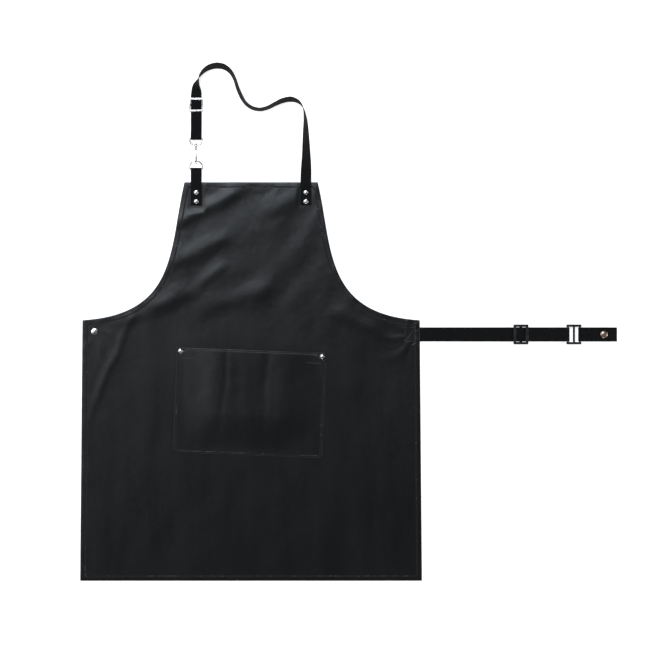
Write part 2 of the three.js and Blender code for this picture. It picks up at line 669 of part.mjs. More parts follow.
// The loop that joins the strap to its end tab: two round outer bars, a middle bar and two rails.
function buildWaistLoop() {
  const barZ = LOOP_BAR_RADIUS + GAP + WEBBING;
  const outer = GLIDE_WIDTH / 2;
  const inner = WAIST_WEBBING_WIDTH / 2 + FRAME_SIDE_ROOM;
  const half = LOOP_BAR_PITCH + LOOP_BAR_RADIUS + 1;
  const rails = [-1, 1].map((side) => {
    const y = [side * inner, side * outer].sort((a, b) => a - b);
    return block([-half, half], y, [barZ - LOOP_BAR_RADIUS, barZ + LOOP_BAR_RADIUS]);
  });
  const across = [-inner - 1, inner + 1];
  const bars = [-1, 1].map((side) => lengthRod(LOOP_BAR_RADIUS, side * LOOP_BAR_PITCH, across, barZ));
  const middle = block(
    [-LOOP_MIDDLE_BAR / 2, LOOP_MIDDLE_BAR / 2],
    across,
    [barZ - LOOP_BAR_RADIUS, barZ + LOOP_BAR_RADIUS],
  );
  const loop = join(rails[0], rails[1], ...bars, middle);
  add("waist_loop", loop.translate(WAIST_LOOP_X, WAIST_STRAP_Y, 0), "plastic");
}

const tabLower = SNAP_SOCKET_HEIGHT + GAP + WEBBING / 2;
const tabUpper = tabLower + WEBBING + GAP;

// The end tab: folded round the loop's far bar, its two layers sewn together and held up by the socket.
function buildWaistTab() {
  const turn = LOOP_BAR_RADIUS + GAP + WEBBING / 2;
  const barZ = turn + WEBBING / 2;
  const barX = WAIST_LOOP_X + LOOP_BAR_PITCH;
  const flat = (x, z) => [x, WAIST_STRAP_Y, z, 0];
  const route = [
    flat(TAB_END_X, tabUpper),
    flat(SNAP_X - 8, tabUpper),
    flat(barX + 16, tabUpper + 0.1),
    ...turnRound(barX, barZ, turn, -1, flat),
    flat(barX + 4, FLOOR_LAYER + GAP / 2),
    flat(barX + 9, FLOOR_LAYER + 0.5),
    flat(SNAP_X - 14, tabLower - 0.2),
    flat(SNAP_X - 8, tabLower),
    flat(TAB_END_X, tabLower),
  ];
  const tab = ribbon(route, WAIST_WEBBING_WIDTH, WEBBING, 3);
  const snap = [{ x: SNAP_X, y: WAIST_STRAP_Y }];
  add("waist_tab", cut(tab, ...shankHoles(snap, 1, tabUpper + 2)), "webbing");
}

function buildTabSnap() {
  const seat = tabUpper + WEBBING / 2 + GAP;
  const shankLow = SNAP_SOCKET_HEIGHT - 0.7;
  const cap = [
    [0, shankLow],
    [SHANK_RADIUS, shankLow],
    [SHANK_RADIUS, seat],
    [SNAP_CAP_RADIUS - 0.4, seat],
    [SNAP_CAP_RADIUS, seat + 0.5],
    [SNAP_CAP_RADIUS * 0.78, seat + 1.4],
    [SNAP_CAP_RADIUS * 0.45, seat + 1.8],
    [0, seat + 1.9],
  ];
  add("snap_cap", turned(cap, SNAP_X, WAIST_STRAP_Y), "copper");
  const mouth = SOCKET_MOUTH_RADIUS;
  const socket = [
    [SHANK_HOLE, SNAP_SOCKET_HEIGHT - 0.9],
    [mouth, SNAP_SOCKET_HEIGHT - 0.9],
    [mouth, 0],
    [STUD_RADIUS - 0.9, 0],
    [STUD_RADIUS - 0.4, 0.6],
    [STUD_RADIUS - 0.4, SNAP_SOCKET_HEIGHT],
    [SHANK_HOLE, SNAP_SOCKET_HEIGHT],
    [SHANK_HOLE, SNAP_SOCKET_HEIGHT - 0.9],
  ];
  add("snap_socket", turned(socket, SNAP_X, WAIST_STRAP_Y), "nickel");
}

buildPanel();
buildPocket();
buildRivets();
buildPanelStud();
buildNeckStrap();
buildNeckTab();
buildNeckSlider();
buildDRing();
buildHookEye();
buildSnapHook();
buildGate();
buildWaistStrap();
buildWaistSlider();
buildWaistLoop();
buildWaistTab();
buildTabSnap();

export default apron;
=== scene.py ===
"""A black leatherette bib apron laid out flat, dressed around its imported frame."""

import math

import bmesh
import bpy
import numpy as np
from bpy.props import FloatProperty, FloatVectorProperty, PointerProperty
from mathutils import Matrix, Vector, noise


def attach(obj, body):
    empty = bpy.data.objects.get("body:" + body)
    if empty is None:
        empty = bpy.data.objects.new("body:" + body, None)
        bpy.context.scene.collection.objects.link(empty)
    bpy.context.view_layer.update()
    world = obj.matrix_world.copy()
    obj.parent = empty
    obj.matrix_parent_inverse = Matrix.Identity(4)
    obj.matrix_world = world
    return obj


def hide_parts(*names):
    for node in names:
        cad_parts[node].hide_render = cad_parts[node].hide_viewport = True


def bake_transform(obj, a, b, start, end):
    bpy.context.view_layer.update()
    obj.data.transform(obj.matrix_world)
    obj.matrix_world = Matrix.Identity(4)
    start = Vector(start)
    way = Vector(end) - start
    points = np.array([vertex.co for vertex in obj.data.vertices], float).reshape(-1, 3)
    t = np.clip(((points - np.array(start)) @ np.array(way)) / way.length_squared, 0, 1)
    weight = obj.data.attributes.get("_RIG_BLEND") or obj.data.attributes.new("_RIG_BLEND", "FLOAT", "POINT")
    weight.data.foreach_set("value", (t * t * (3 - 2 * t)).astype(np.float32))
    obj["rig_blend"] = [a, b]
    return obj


bl_info = {
    "name": "Leatherette bib apron",
    "version": (1, 0, 0),
    "blender": (4, 5, 0),
    "location": "3D View > Sidebar > Apron",
    "description": "Builds a bib apron with its pocket, straps, stitching and hardware",
    "category": "Add Mesh",
}

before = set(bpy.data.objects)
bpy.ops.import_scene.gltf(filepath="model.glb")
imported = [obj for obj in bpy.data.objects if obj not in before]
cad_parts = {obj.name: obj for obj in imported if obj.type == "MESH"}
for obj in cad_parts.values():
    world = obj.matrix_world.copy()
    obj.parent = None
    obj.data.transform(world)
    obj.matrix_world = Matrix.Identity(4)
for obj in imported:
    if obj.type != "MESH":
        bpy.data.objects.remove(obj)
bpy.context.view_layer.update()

# ------------------------------------------------------------------ sizes in millimetres, Y from the hem's edge

HEM_SHIFT = 5.0  # the frame's origin lies this far above the hem's edge
PANEL_LENGTH = 700.0
HEM_HALF_WIDTH = 300.0
WAIST_HALF_WIDTH = 296.0
WAIST_HEIGHT = 457.0
BIB_HALF_WIDTH = 116.5
ARMHOLE = ((WAIST_HALF_WIDTH, WAIST_HEIGHT), (126.5, 468.0), (143.5, 586.0), (BIB_HALF_WIDTH, PANEL_LENGTH))
PANEL_MIDDLE = 2.1
PANEL_SHEET = 1.1
EDGE_SEAM = 7.5
POCKET_SIZE = (262.0, 184.0)
POCKET_CENTRE = (-3.0, 313.0)
POCKET_TILT = math.radians(-2.2)
POCKET_MARGIN, POCKET_SIDE_SLOPE, POCKET_FOOT_SLOPE, POCKET_RISE = 8.0, 78.0, 66.0, 5.4
POCKET_MIDDLE = 3.85
POCKET_SHEET = 0.7
POCKET_SEAM = 3.0
STRAP_X = 96.5
STRAP_END_Y = 661.0
STRAP_RIVET_Y = (683.0, 667.0)
NECK_WEBBING, WAIST_WEBBING, WEBBING = 19.0, 25.0, 1.2
WOVEN_THICKNESS = 1.12  # of the woven strap itself, a little less than the room it takes
STITCH_LEVEL = 0.56  # a strap's surface above its middle
PLAY = 0.3  # between a strap and the bar it turns round
PLASTIC_BAR = 1.5
STUD = (-276.0, 438.0)
WAIST_STRAP_Y = 433.0
SNAP_X, TAB_END_X, SOCKET_TOP = 621.0, 644, 3.2
FIRST_LAYER, SECOND_LAYER, FLOOR_LAYER = 3.6, 5.1, 0.6
NECK_FRONT, WAIST_FRONT = 3.8, 4.0
NECK_SLIDER_Y, WAIST_SLIDER_X, WAIST_LOOP_X, LOOP_BAR_PITCH = 837.0, 475.0, 568.5, 10.5
D_RING_BAR = (724.0, 3.4)
D_RING_DEPTH, WIRE = 14.3, 1.2
EYE_BAR_Y, EYE_DEPTH, EYE_WIRE, HOOK_AXIS_Z = 778.0, 12.0, 1.5, 6.5
BACK_LOW, BACK_HIGH = 0.3, 1.2  # the rivets' and the stud's backs, beneath the panel


def metres(x, y, z=0.0):
    """A point in millimetres from the hem's edge, as a point of the frame."""
    return Vector((x / 1000, (y - HEM_SHIFT) / 1000, z / 1000))


def smooth(low, high, value):
    share = min(max((value - low) / (high - low), 0.0), 1.0)
    return share * share * (3 - 2 * share)


# ------------------------------------------------------------------ what a user can change


class ApronSizes(bpy.types.PropertyGroup):
    creases: FloatProperty(
        name="Creases", description="How strong the soft folds of the leatherette are", default=1.0, min=0, max=2
    )
    stitch_pitch: FloatProperty(
        name="Stitch pitch", description="From one stitch to the next", default=0.0036, unit="LENGTH"
    )
    stitch_length: FloatProperty(
        name="Stitch length", description="The part of each stitch that shows", default=0.0027, unit="LENGTH"
    )
    thread: FloatProperty(
        name="Thread", description="Thickness of the sewing thread", default=0.0006, unit="LENGTH"
    )


class ApronColours(bpy.types.PropertyGroup):
    leather: FloatVectorProperty(
        name="Leatherette", description="Colour of panel and pocket", subtype="COLOR",
        default=(0.0024, 0.0025, 0.0027),
    )
    webbing: FloatVectorProperty(
        name="Webbing", description="Colour of the straps", subtype="COLOR", default=(0.0026, 0.0026, 0.0028)
    )
    light_thread: FloatVectorProperty(
        name="Pocket thread", description="Colour of the pocket's stitches", subtype="COLOR", default=(0.2, 0.2, 0.2)
    )
    dark_thread: FloatVectorProperty(
        name="Edge thread", description="Colour of the edge stitches", subtype="COLOR",
        default=(0.003, 0.0032, 0.0034),
    )
    nickel: FloatVectorProperty(
        name="Nickel", description="Colour of rivets and rings", subtype="COLOR", default=(0.74, 0.73, 0.71)
    )
    snap_cap: FloatVectorProperty(
        name="Snap cap", description="Colour of the end tab's cap", subtype="COLOR", default=(0.62, 0.45, 0.36)
    )
    plastic: FloatVectorProperty(
        name="Plastic", description="Colour of the waist strap's slider and loop", subtype="COLOR",
        default=(0.008, 0.008, 0.009),
    )


# ------------------------------------------------------------------ node helpers


def new_node(tree, kind, values=(), **settings):
    node = tree.nodes.new(kind)
    for name, value in settings.items():
        setattr(node, name, value)
    for socket, value in dict(values).items():
        node.inputs[socket].default_value = value
    return node


def math_node(tree, operation, first, second=None):
    node = new_node(tree, "ShaderNodeMath", operation=operation)
    for i, value in enumerate((first, second)):
        if value is None:
            continue
        if isinstance(value, (int, float)):
            node.inputs[i].default_value = value
        else:
            tree.links.new(value, node.inputs[i])
    return node.outputs[0]


def ramp(tree, source, low, high, out_low=0.0, out_high=1.0):
    node = new_node(tree, "ShaderNodeMapRange", clamp=True)
    tree.links.new(source, node.inputs["Value"])
    node.inputs["From Min"].default_value = low
    node.inputs["From Max"].default_value = high
    node.inputs["To Min"].default_value = out_low
    node.inputs["To Max"].default_value = out_high
    return node.outputs["Result"]


def blend_colour(tree, factor, first, second):
    node = new_node(tree, "ShaderNodeMix", data_type="RGBA")
    tree.links.new(factor, node.inputs["Factor"])
    for name, value in (("A", first), ("B", second)):
        socket = [s for s in node.inputs if s.name == name and s.type == "RGBA"][0]
        if isinstance(value, (tuple, list)):
            socket.default_value = value
        else:
            tree.links.new(value, socket)
    return [s for s in node.outputs if s.type == "RGBA"][0]


def new_group(name, inputs, outputs):
    tree = bpy.data.node_groups.new(name, "ShaderNodeTree")
    for label, kind, default in inputs:
        socket = tree.interface.new_socket(label, in_out="INPUT", socket_type=kind)
        socket.default_value = default
    for label, kind in outputs:
        tree.interface.new_socket(label, in_out="OUTPUT", socket_type=kind)
    return tree, tree.nodes.new("NodeGroupInput"), tree.nodes.new("NodeGroupOutput")


def new_surface(name, *more_inputs):
    """A node group that puts out a finish, and takes its colour and any further values by name."""
    inputs = [("Colour", "NodeSocketColor", (0, 0, 0, 1)), *more_inputs]
    outputs = [("Colour", "NodeSocketColor"), ("Roughness", "NodeSocketFloat"), ("Normal", "NodeSocketVector")]
    return new_group(name, inputs, outputs)


def object_point(tree):
    return tree.nodes.new("ShaderNodeTexCoord").outputs["Object"]


def texture(tree, kind, scale, point, **settings):
    node = new_node(tree, kind, {"Scale": scale}, **settings)
    tree.links.new(point, node.inputs["Vector"])
    return node


def stretched(tree, point, turn, scale):
    node = new_node(tree, "ShaderNodeMapping", {"Rotation": (0, 0, turn), "Scale": scale})
    tree.links.new(point, node.inputs["Vector"])
    return node.outputs["Vector"]


def bump(tree, height, strength, distance, normal=None):
    node = new_node(tree, "ShaderNodeBump", {"Strength": strength, "Distance": distance})
    tree.links.new(height, node.inputs["Height"])
    if normal is not None:
        tree.links.new(normal, node.inputs["Normal"])
    return node.outputs["Normal"]


GRAIN_CELLS, WRINKLES = 950.0, 95.0  # to the metre
LEAST_ROUGH, ROUGH_SPREAD = 0.345, 0.07


def leather_surface():
    """Embossed grain, soft lighter patches of painted sheen and fine creases for coated fabric."""
    tree, given, out = new_surface("leatherette", ("Painted sheen colour", "NodeSocketColor", (0, 0, 0, 1)))
    point = object_point(tree)
    # painted sheen: broad diagonal clouds where the colour is made lighter, standing in for the leatherette's sheen
    broad = texture(tree, "ShaderNodeTexNoise", 7.0, stretched(tree, point, 0.7, (1, 0.45, 1)))
    broad.inputs["Detail"].default_value = 5
    cloud = ramp(tree, broad.outputs["Fac"], 0.42, 0.68)
    fine = texture(tree, "ShaderNodeTexNoise", 420.0, point)
    fine.inputs["Detail"].default_value = 3
    painted_sheen = math_node(tree, "MULTIPLY", cloud, ramp(tree, fine.outputs["Fac"], 0.3, 0.7, 0.55, 1.0))
    # the lighter colour in these clouds is painted sheen, not wear
    colour = blend_colour(tree, painted_sheen, given.outputs["Colour"], given.outputs["Painted sheen colour"])
    tree.links.new(colour, out.inputs["Colour"])
    streak = texture(tree, "ShaderNodeTexNoise", 30.0, stretched(tree, point, 0.9, (1, 0.25, 1)))
    streak.inputs["Detail"].default_value = 4
    rough = math_node(tree, "ADD", ramp(tree, streak.outputs["Fac"], 0.3, 0.7, 0.0, ROUGH_SPREAD), LEAST_ROUGH)
    rough = math_node(tree, "SUBTRACT", rough, math_node(tree, "MULTIPLY", cloud, 0.05))
    tree.links.new(rough, out.inputs["Roughness"])
    cells = texture(tree, "ShaderNodeTexVoronoi", GRAIN_CELLS, point, feature="DISTANCE_TO_EDGE")
    pebble = ramp(tree, cells.outputs["Distance"], 0.0, 0.22)
    wrinkle = texture(tree, "ShaderNodeTexNoise", WRINKLES, point)
    wrinkle.inputs["Detail"].default_value = 6
    wrinkle.inputs["Distortion"].default_value = 0.6
    grain = bump(tree, pebble, 0.35, 0.00012)
    tree.links.new(bump(tree, wrinkle.outputs["Fac"], 0.2, 0.0007, grain), out.inputs["Normal"])
    return tree


RIB_PITCH, PICK_PITCH, PICK_SLOPE = 1.55, 1.1, 1.4  # the weave's ribs and its cross threads, in millimetres


def webbing_surface():
    """A tight weave that follows the strap through its own across and along values, in millimetres."""
    tree, given, out = new_surface("webbing", ("Painted ridge highlight", "NodeSocketColor", (0, 0, 0, 1)))
    across = new_node(tree, "ShaderNodeAttribute", attribute_name="across").outputs["Fac"]
    along = new_node(tree, "ShaderNodeAttribute", attribute_name="along").outputs["Fac"]
    rib = math_node(tree, "SINE", math_node(tree, "MULTIPLY", across, 2 * math.pi / RIB_PITCH))
    side = math_node(tree, "SINE", math_node(tree, "MULTIPLY", across, math.pi / RIB_PITCH))
    side = math_node(tree, "SIGN", side)
    skew = math_node(tree, "MULTIPLY", math_node(tree, "MULTIPLY", across, PICK_SLOPE), side)
    pick = math_node(tree, "MULTIPLY", math_node(tree, "ADD", along, skew), 2 * math.pi / PICK_PITCH)
    pick = math_node(tree, "SINE", pick)
    weave = math_node(tree, "ADD", math_node(tree, "MULTIPLY", rib, 0.6), math_node(tree, "MULTIPLY", pick, 0.4))
    height = ramp(tree, weave, -1.0, 1.0)
    fibre = texture(tree, "ShaderNodeTexNoise", 1800.0, object_point(tree))
    # painted highlight: the colour is made lighter on the weave's raised ridges
    lit = math_node(tree, "MULTIPLY", height, ramp(tree, fibre.outputs["Fac"], 0.35, 0.65, 0.4, 1.0))
    colour = blend_colour(tree, lit, given.outputs["Colour"], given.outputs["Painted ridge highlight"])
    tree.links.new(colour, out.inputs["Colour"])
    tree.links.new(ramp(tree, height, 0.0, 1.0, 0.85, 0.62), out.inputs["Roughness"])
    woven = bump(tree, height, 0.7, 0.00035)
    tree.links.new(bump(tree, fibre.outputs["Fac"], 0.25, 0.0001, woven), out.inputs["Normal"])
    return tree


DULL_METAL = (0.3, 0.28, 0.26, 1)
RUBBED_PLASTIC = (0.03, 0.03, 0.032, 1)


def metal_surface():
    """Plating with faint wipe marks and small dents."""
    tree, given, out = new_surface("plated metal", ("Roughness", "NodeSocketFloat", 0.2))
    point = object_point(tree)
    marks = texture(tree, "ShaderNodeTexNoise", 900.0, stretched(tree, point, 0.4, (1, 0.12, 1)))
    marks.inputs["Detail"].default_value = 4
    patch = texture(tree, "ShaderNodeTexNoise", 260.0, point)
    dulled = ramp(tree, patch.outputs["Fac"], 0.35, 0.8, 0.0, 0.3)
    colour = blend_colour(tree, dulled, given.outputs["Colour"], DULL_METAL)
    tree.links.new(colour, out.inputs["Colour"])
    wiped = ramp(tree, marks.outputs["Fac"], 0.3, 0.75, -0.04, 0.14)
    rough = math_node(tree, "ADD", given.outputs["Roughness"], wiped)
    tree.links.new(rough, out.inputs["Roughness"])
    tree.links.new(bump(tree, marks.outputs["Fac"], 0.1, 0.0001), out.inputs["Normal"])
    return tree


def plastic_surface():
    """Moulded plastic with a faint sandblasted texture."""
    tree, given, out = new_surface("moulded plastic")
    point = object_point(tree)
    sand = texture(tree, "ShaderNodeTexNoise", 2600.0, point)
    wipe = texture(tree, "ShaderNodeTexNoise", 150.0, point)
    wiped = ramp(tree, wipe.outputs["Fac"], 0.4, 0.8, 0.0, 0.6)
    colour = blend_colour(tree, wiped, given.outputs["Colour"], RUBBED_PLASTIC)
    tree.links.new(colour, out.inputs["Colour"])
    tree.links.new(ramp(tree, wipe.outputs["Fac"], 0.3, 0.7, 0.28, 0.42), out.inputs["Roughness"])
    tree.links.new(bump(tree, sand.outputs["Fac"], 0.2, 0.00008), out.inputs["Normal"])
    return tree


def thread_surface():
    """Twisted thread, lighter on its strands."""
    tree, given, out = new_surface("sewing thread", ("Shade", "NodeSocketColor", (0, 0, 0, 1)))
    strands = texture(tree, "ShaderNodeTexNoise", 2400.0, stretched(tree, object_point(tree), 0.8, (1, 0.3, 1)))
    fac = ramp(tree, strands.outputs["Fac"], 0.35, 0.65)
    tree.links.new(blend_colour(tree, fac, given.outputs["Shade"], given.outputs["Colour"]), out.inputs["Colour"])
    tree.links.new(ramp(tree, fac, 0.0, 1.0, 0.8, 0.55), out.inputs["Roughness"])
    tree.links.new(bump(tree, fac, 0.5, 0.0001), out.inputs["Normal"])
    return tree


def surface_group(name, maker):
    return bpy.data.node_groups.get(name) or maker()


SEAM_GROOVE = 1.8  # half the width of the dent along a row of stitches, in millimetres
SEAM_DULL = (0.8, 2.2)  # the leatherette is dull as far as the first and shiny again past the second


def new_material(name, group, inputs, metallic=0.0, specular=0.5, coat=0.0, seam=None):
    material = bpy.data.materials.new(name)
    material.use_nodes = True
    tree = material.node_tree
    shader = tree.nodes["Principled BSDF"]
    shader.inputs["Metallic"].default_value = metallic
    shader.inputs["Specular IOR Level"].default_value = specular
    shader.inputs["Coat Weight"].default_value = coat
    node = new_node(tree, "ShaderNodeGroup", node_tree=group)
    for label, value in inputs.items():
        node.inputs[label].default_value = value
    tree.links.new(node.outputs["Colour"], shader.inputs["Base Color"])
    rough, normal = node.outputs["Roughness"], node.outputs["Normal"]
    if seam:
        distance = new_node(tree, "ShaderNodeAttribute", attribute_name="seam").outputs["Fac"]
        apart = math_node(tree, "ABSOLUTE", math_node(tree, "SUBTRACT", distance, seam))
        normal = bump(tree, ramp(tree, apart, 0.0, SEAM_GROOVE), 0.5, 0.00025, normal)
        rough = math_node(tree, "MAXIMUM", rough, ramp(tree, apart, *SEAM_DULL, 0.8, 0.0))
    tree.links.new(rough, shader.inputs["Roughness"])
    tree.links.new(normal, shader.inputs["Normal"])
    return material


def with_alpha(colour, gain=1.0):
    return (*(min(channel * gain, 1.0) for channel in colour), 1.0)


def make_materials():
    colours = bpy.context.scene.apron_colours
    leather = surface_group("leatherette", leather_surface)
    web = surface_group("webbing", webbing_surface)
    metal = surface_group("plated metal", metal_surface)
    plastic = surface_group("moulded plastic", plastic_surface)
    thread = surface_group("sewing thread", thread_surface)
    # the leatherette's lighter colour, 2.6 times its own, is painted sheen
    hide = {"Colour": with_alpha(colours.leather), "Painted sheen colour": with_alpha(colours.leather, 2.6)}
    # the webbing's lighter colour, 3 times its own, is a painted highlight on the weave's ridges
    cloth = {"Colour": with_alpha(colours.webbing), "Painted ridge highlight": with_alpha(colours.webbing, 3.0)}
    bright = {"Colour": with_alpha(colours.nickel), "Roughness": 0.2}
    copper = {"Colour": with_alpha(colours.snap_cap), "Roughness": 0.26}
    black = {"Colour": with_alpha(colours.plastic)}
    light = {"Colour": with_alpha(colours.light_thread), "Shade": with_alpha(colours.light_thread, 0.4)}
    faded = {"Colour": with_alpha(colours.light_thread, 1.2), "Shade": with_alpha(colours.light_thread, 0.5)}
    dark = {"Colour": with_alpha(colours.dark_thread), "Shade": with_alpha(colours.dark_thread, 0.4)}
    return {
        "panel": new_material("panel leatherette", leather, hide, specular=0.42, seam=EDGE_SEAM),
        "pocket": new_material("pocket leatherette", leather, hide, specular=0.42, seam=POCKET_SEAM),
        "webbing": new_material("black webbing", web, cloth, specular=0.12),
        "nickel": new_material("nickel plate", metal, bright, metallic=1.0),
        "snap_cap": new_material("copper nickel cap", metal, copper, metallic=1.0),
        "plastic": new_material("black acetal", plastic, black, coat=0.15),
        "light_thread": new_material("grey thread", thread, light, specular=0.3),
        "faded_thread": new_material("faded thread", thread, faded, specular=0.3),
        "dark_thread": new_material("dark thread", thread, dark, specular=0.12),
    }


materials = {}

# ------------------------------------------------------------------ mesh helpers


def mapped_grid(columns, rows, place, values=()):
    """A grid whose points are put where place(u, v) says; it also returns the named values of each point."""
    bm = bmesh.new()
    layers = [bm.verts.layers.float.new(name) for name in values]
    bmesh.ops.create_grid(bm, x_segments=columns, y_segments=rows, size=0.5)
    for vert in bm.verts:
        u = round((vert.co.x + 0.5) * columns) / columns
        v = round((vert.co.y + 0.5) * rows) / rows
        vert.co, *found = place(u, v)
        for layer, value in zip(layers, found):
            vert[layer] = value
    return bm


def outward_normals(bm):
    """The mitred outward direction, level with the floor, of each point on a sheet's border."""
    sums = {}
    for edge in bm.edges:
        if not edge.is_boundary:
            continue
        along = edge.verts[1].co - edge.verts[0].co
        normal = Vector((along.y, -along.x, 0)).normalized()
        middle = (edge.verts[0].co + edge.verts[1].co) / 2
        if normal.dot(middle - edge.link_faces[0].calc_center_median()) < 0:
            normal.negate()
        for vert in edge.verts:
            sums.setdefault(vert, []).append(normal)
    return {vert: (a + b) / (1 + a.dot(b)) for vert, (a, b) in sums.items()}


def turn_edge(bm, profile):
    """Turns a sheet's border under. The profile gives each further row as (outwards, up) in metres."""
    normals = outward_normals(bm)
    roots = {vert: vert for vert in normals}
    home = {vert: vert.co.copy() for vert in normals}
    edges = [edge for edge in bm.edges if edge.is_boundary]
    for outwards, up in profile:
        made = bmesh.ops.extrude_edge_only(bm, edges=edges)["geom"]
        fresh = [item for item in made if isinstance(item, bmesh.types.BMVert)]
        found = {}
        for vert in fresh:
            for edge in vert.link_edges:
                other = edge.other_vert(vert)
                if other in roots and (other.co - vert.co).length < 1e-9:
                    found[vert] = roots[other]
        for vert, root in found.items():
            vert.co = home[root] + normals[root] * outwards + Vector((0, 0, up))
        roots = found
        edges = [e for e in made if isinstance(e, bmesh.types.BMEdge) and all(v in found for v in e.verts)]


def distances(points, line):
    """How far each point is from a closed line, in the line's own unit."""
    start = np.asarray(line)
    along = np.roll(start, -1, 0) - start
    length = (along**2).sum(1)
    best = np.full(len(points), 1e9)
    for a, d, n in zip(start, along, length):
        rel = points - a
        share = np.clip((rel @ d) / n, 0, 1)
        best = np.minimum(best, np.hypot(*(rel - share[:, None] * d).T))
    return best


def mark_sharp(bm, degrees):
    limit = math.radians(degrees)
    for face in bm.faces:
        face.smooth = True
    for edge in bm.edges:
        if len(edge.link_faces) == 2:
            edge.smooth = edge.calc_face_angle(0.0) < limit


def finish_piece(bm, name, material, body=None, replaces=(), sharp=None):
    if sharp:
        mark_sharp(bm, sharp)
    else:
        for face in bm.faces:
            face.smooth = True
    mesh = bpy.data.meshes.new(name)
    bm.to_mesh(mesh)
    bm.free()
    piece = bpy.data.objects.new(name, mesh)
    bpy.context.scene.collection.objects.link(piece)
    mesh.materials.append(materials[material])
    if replaces:
        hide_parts(*replaces)
    if body:
        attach(piece, body)
    return piece


def thicken(piece, thickness):
    solid = piece.modifiers.new("thickness", "SOLIDIFY")
    solid.thickness = thickness
    solid.offset = 0.0
    solid.use_even_offset = False


def bevel_sharp(bm, width, segments, degrees):
    limit = math.radians(degrees)
    edges = [e for e in bm.edges if len(e.link_faces) == 2 and e.calc_face_angle(0.0) > limit]
    bmesh.ops.bevel(
        bm, geom=edges, offset=width, offset_type="OFFSET", affect="EDGES", segments=segments, profile=0.5,
        material=-1, clamp_overlap=True,
    )


def take_in(bm, part):
    """Adds one mesh under construction to another."""
    mesh = bpy.data.meshes.new("part")
    part.to_mesh(mesh)
    part.free()
    bm.from_mesh(mesh)
    bpy.data.meshes.remove(mesh)


def sew(bm, line, height, closed=False, sunk=0.05, where=None):
    """A row of stitches along a line of (x, y) in millimetres, on a surface of the given height."""
    sizes = bpy.context.scene.apron_sizes
    pitch, length, radius = (1000 * s for s in (sizes.stitch_pitch, sizes.stitch_length, sizes.thread / 2))
    points = np.asarray(line, float)
    if closed:
        points = np.vstack([points, points[:1]])
    steps = np.hypot(*np.diff(points, axis=0).T)
    run = np.concatenate([[0], np.cumsum(steps)])
    row = bmesh.new()
    for k in range(int(run[-1] / pitch)):
        at = [(k + 0.5) * pitch + side * length / 2 for side in (-1, 0, 1)]
        xy = [(np.interp(s, run, points[:, 0]), np.interp(s, run, points[:, 1])) for s in at]
        if where and not where(*xy[1]):
            continue
        low, middle, high = (metres(x, y, height(x, y) - sunk) for x, y in xy)
        forward = (high - low).normalized()
        side = forward.cross(Vector((0, 0, 1))).normalized()
        up = side.cross(forward)
        turn = Matrix((side, forward, up)).transposed().to_4x4()
        size = Matrix.Diagonal((radius / 1000, length / 2000, radius / 1000, 1))
        bmesh.ops.create_uvsphere(
            row, u_segments=6, v_segments=5, radius=1.0,
            matrix=Matrix.Translation(middle) @ turn @ size @ Matrix.Rotation(math.pi / 2, 4, "X"),
        )
        if k % 40 == 39:
            take_in(bm, row)
            row = bmesh.new()
    take_in(bm, row)


# ------------------------------------------------------------------ panel


def armhole(t):
    a, b, c, d = (np.array(p) for p in ARMHOLE)
    return (1 - t) ** 3 * a + 3 * (1 - t) ** 2 * t * b + 3 * (1 - t) * t * t * c + t**3 * d


def even_armhole(count):
    """Points spaced evenly along the armhole."""
    fine = np.array([armhole(t) for t in np.linspace(0, 1, 400)])
    run = np.concatenate([[0], np.cumsum(np.hypot(*np.diff(fine, axis=0).T))])
    even = np.linspace(0, run[-1], count)
    return np.stack([np.interp(even, run, fine[:, 0]), np.interp(even, run, fine[:, 1])], 1)


def panel_outline():
    side = even_armhole(90)
    left = side[::-1] * (-1, 1)
    corners = [[-HEM_HALF_WIDTH, 0], [HEM_HALF_WIDTH, 0]]
    return np.vstack([corners, side, left])


def inset_line(line, distance):
    """A closed line moved inwards by a distance, with mitred corners."""
    points = np.asarray(line, float)
    after = np.roll(points, -1, 0) - points
    normal = np.stack([-after[:, 1], after[:, 0]], 1) / np.hypot(*after.T)[:, None]
    before = np.roll(normal, 1, 0)
    reach = distance / (1 + (before * normal).sum(1))
    return points + (before + normal) * reach[:, None]


def local_pocket(x, y):
    """A point of the apron in the pocket's own tilted frame, from the pocket's middle."""
    c, s = math.cos(-POCKET_TILT), math.sin(-POCKET_TILT)
    dx, dy = x - POCKET_CENTRE[0], y - POCKET_CENTRE[1]
    return dx * c - dy * s, dx * s + dy * c


def from_pocket(lx, ly):
    """A point of the pocket's own frame as a point of the apron."""
    c, s = math.cos(POCKET_TILT), math.sin(POCKET_TILT)
    return POCKET_CENTRE[0] + lx * c - ly * s, POCKET_CENTRE[1] + lx * s + ly * c


def wave(x, y, scale, seed):
    """Smooth noise between about -1 and 1, the same each run, with bumps about a scale apart."""
    return noise.noise(Vector((x / scale, y / scale, seed)))


def swell(x, y, start, end, width, height):
    """A soft ridge between two points. It fades at both ends, and its upper side is the wider one."""
    length = math.dist(start, end)
    ux, uy = (end[0] - start[0]) / length, (end[1] - start[1]) / length
    along = ((x - start[0]) * ux + (y - start[1]) * uy) / length
    across = (y - start[1]) * ux - (x - start[0]) * uy + 5 * wave(x, y, 45, start[0])
    ends = smooth(-0.35, 0.25, along) * smooth(1.35, 0.75, along)
    return height * ends * math.exp(-((across / (width if across > 0 else 0.75 * width)) ** 2))


# each soft ridge of the panel: where it starts and ends, its half width and its height
SWELLS = (
    ((-132, 626), (-22, 686), 13, 2.7),
    ((-138, 557), (-45, 603), 17, 2.0),
    ((-70, 482), (30, 516), 20, 1.9),
    ((-175, 480), (-104, 510), 17, 2.1),
    ((-92, 523), (-50, 552), 12, 1.2),
    ((-30, 596), (66, 640), 30, 0.8),
    ((34, 652), (124, 694), 20, 2.2),
    ((-279, 300), (-210, 464), 8, 0.9),
    ((-236, 452), (-190, 470), 13, 1.0),
    ((150, 470), (212, 446), 14, 1.2),
)


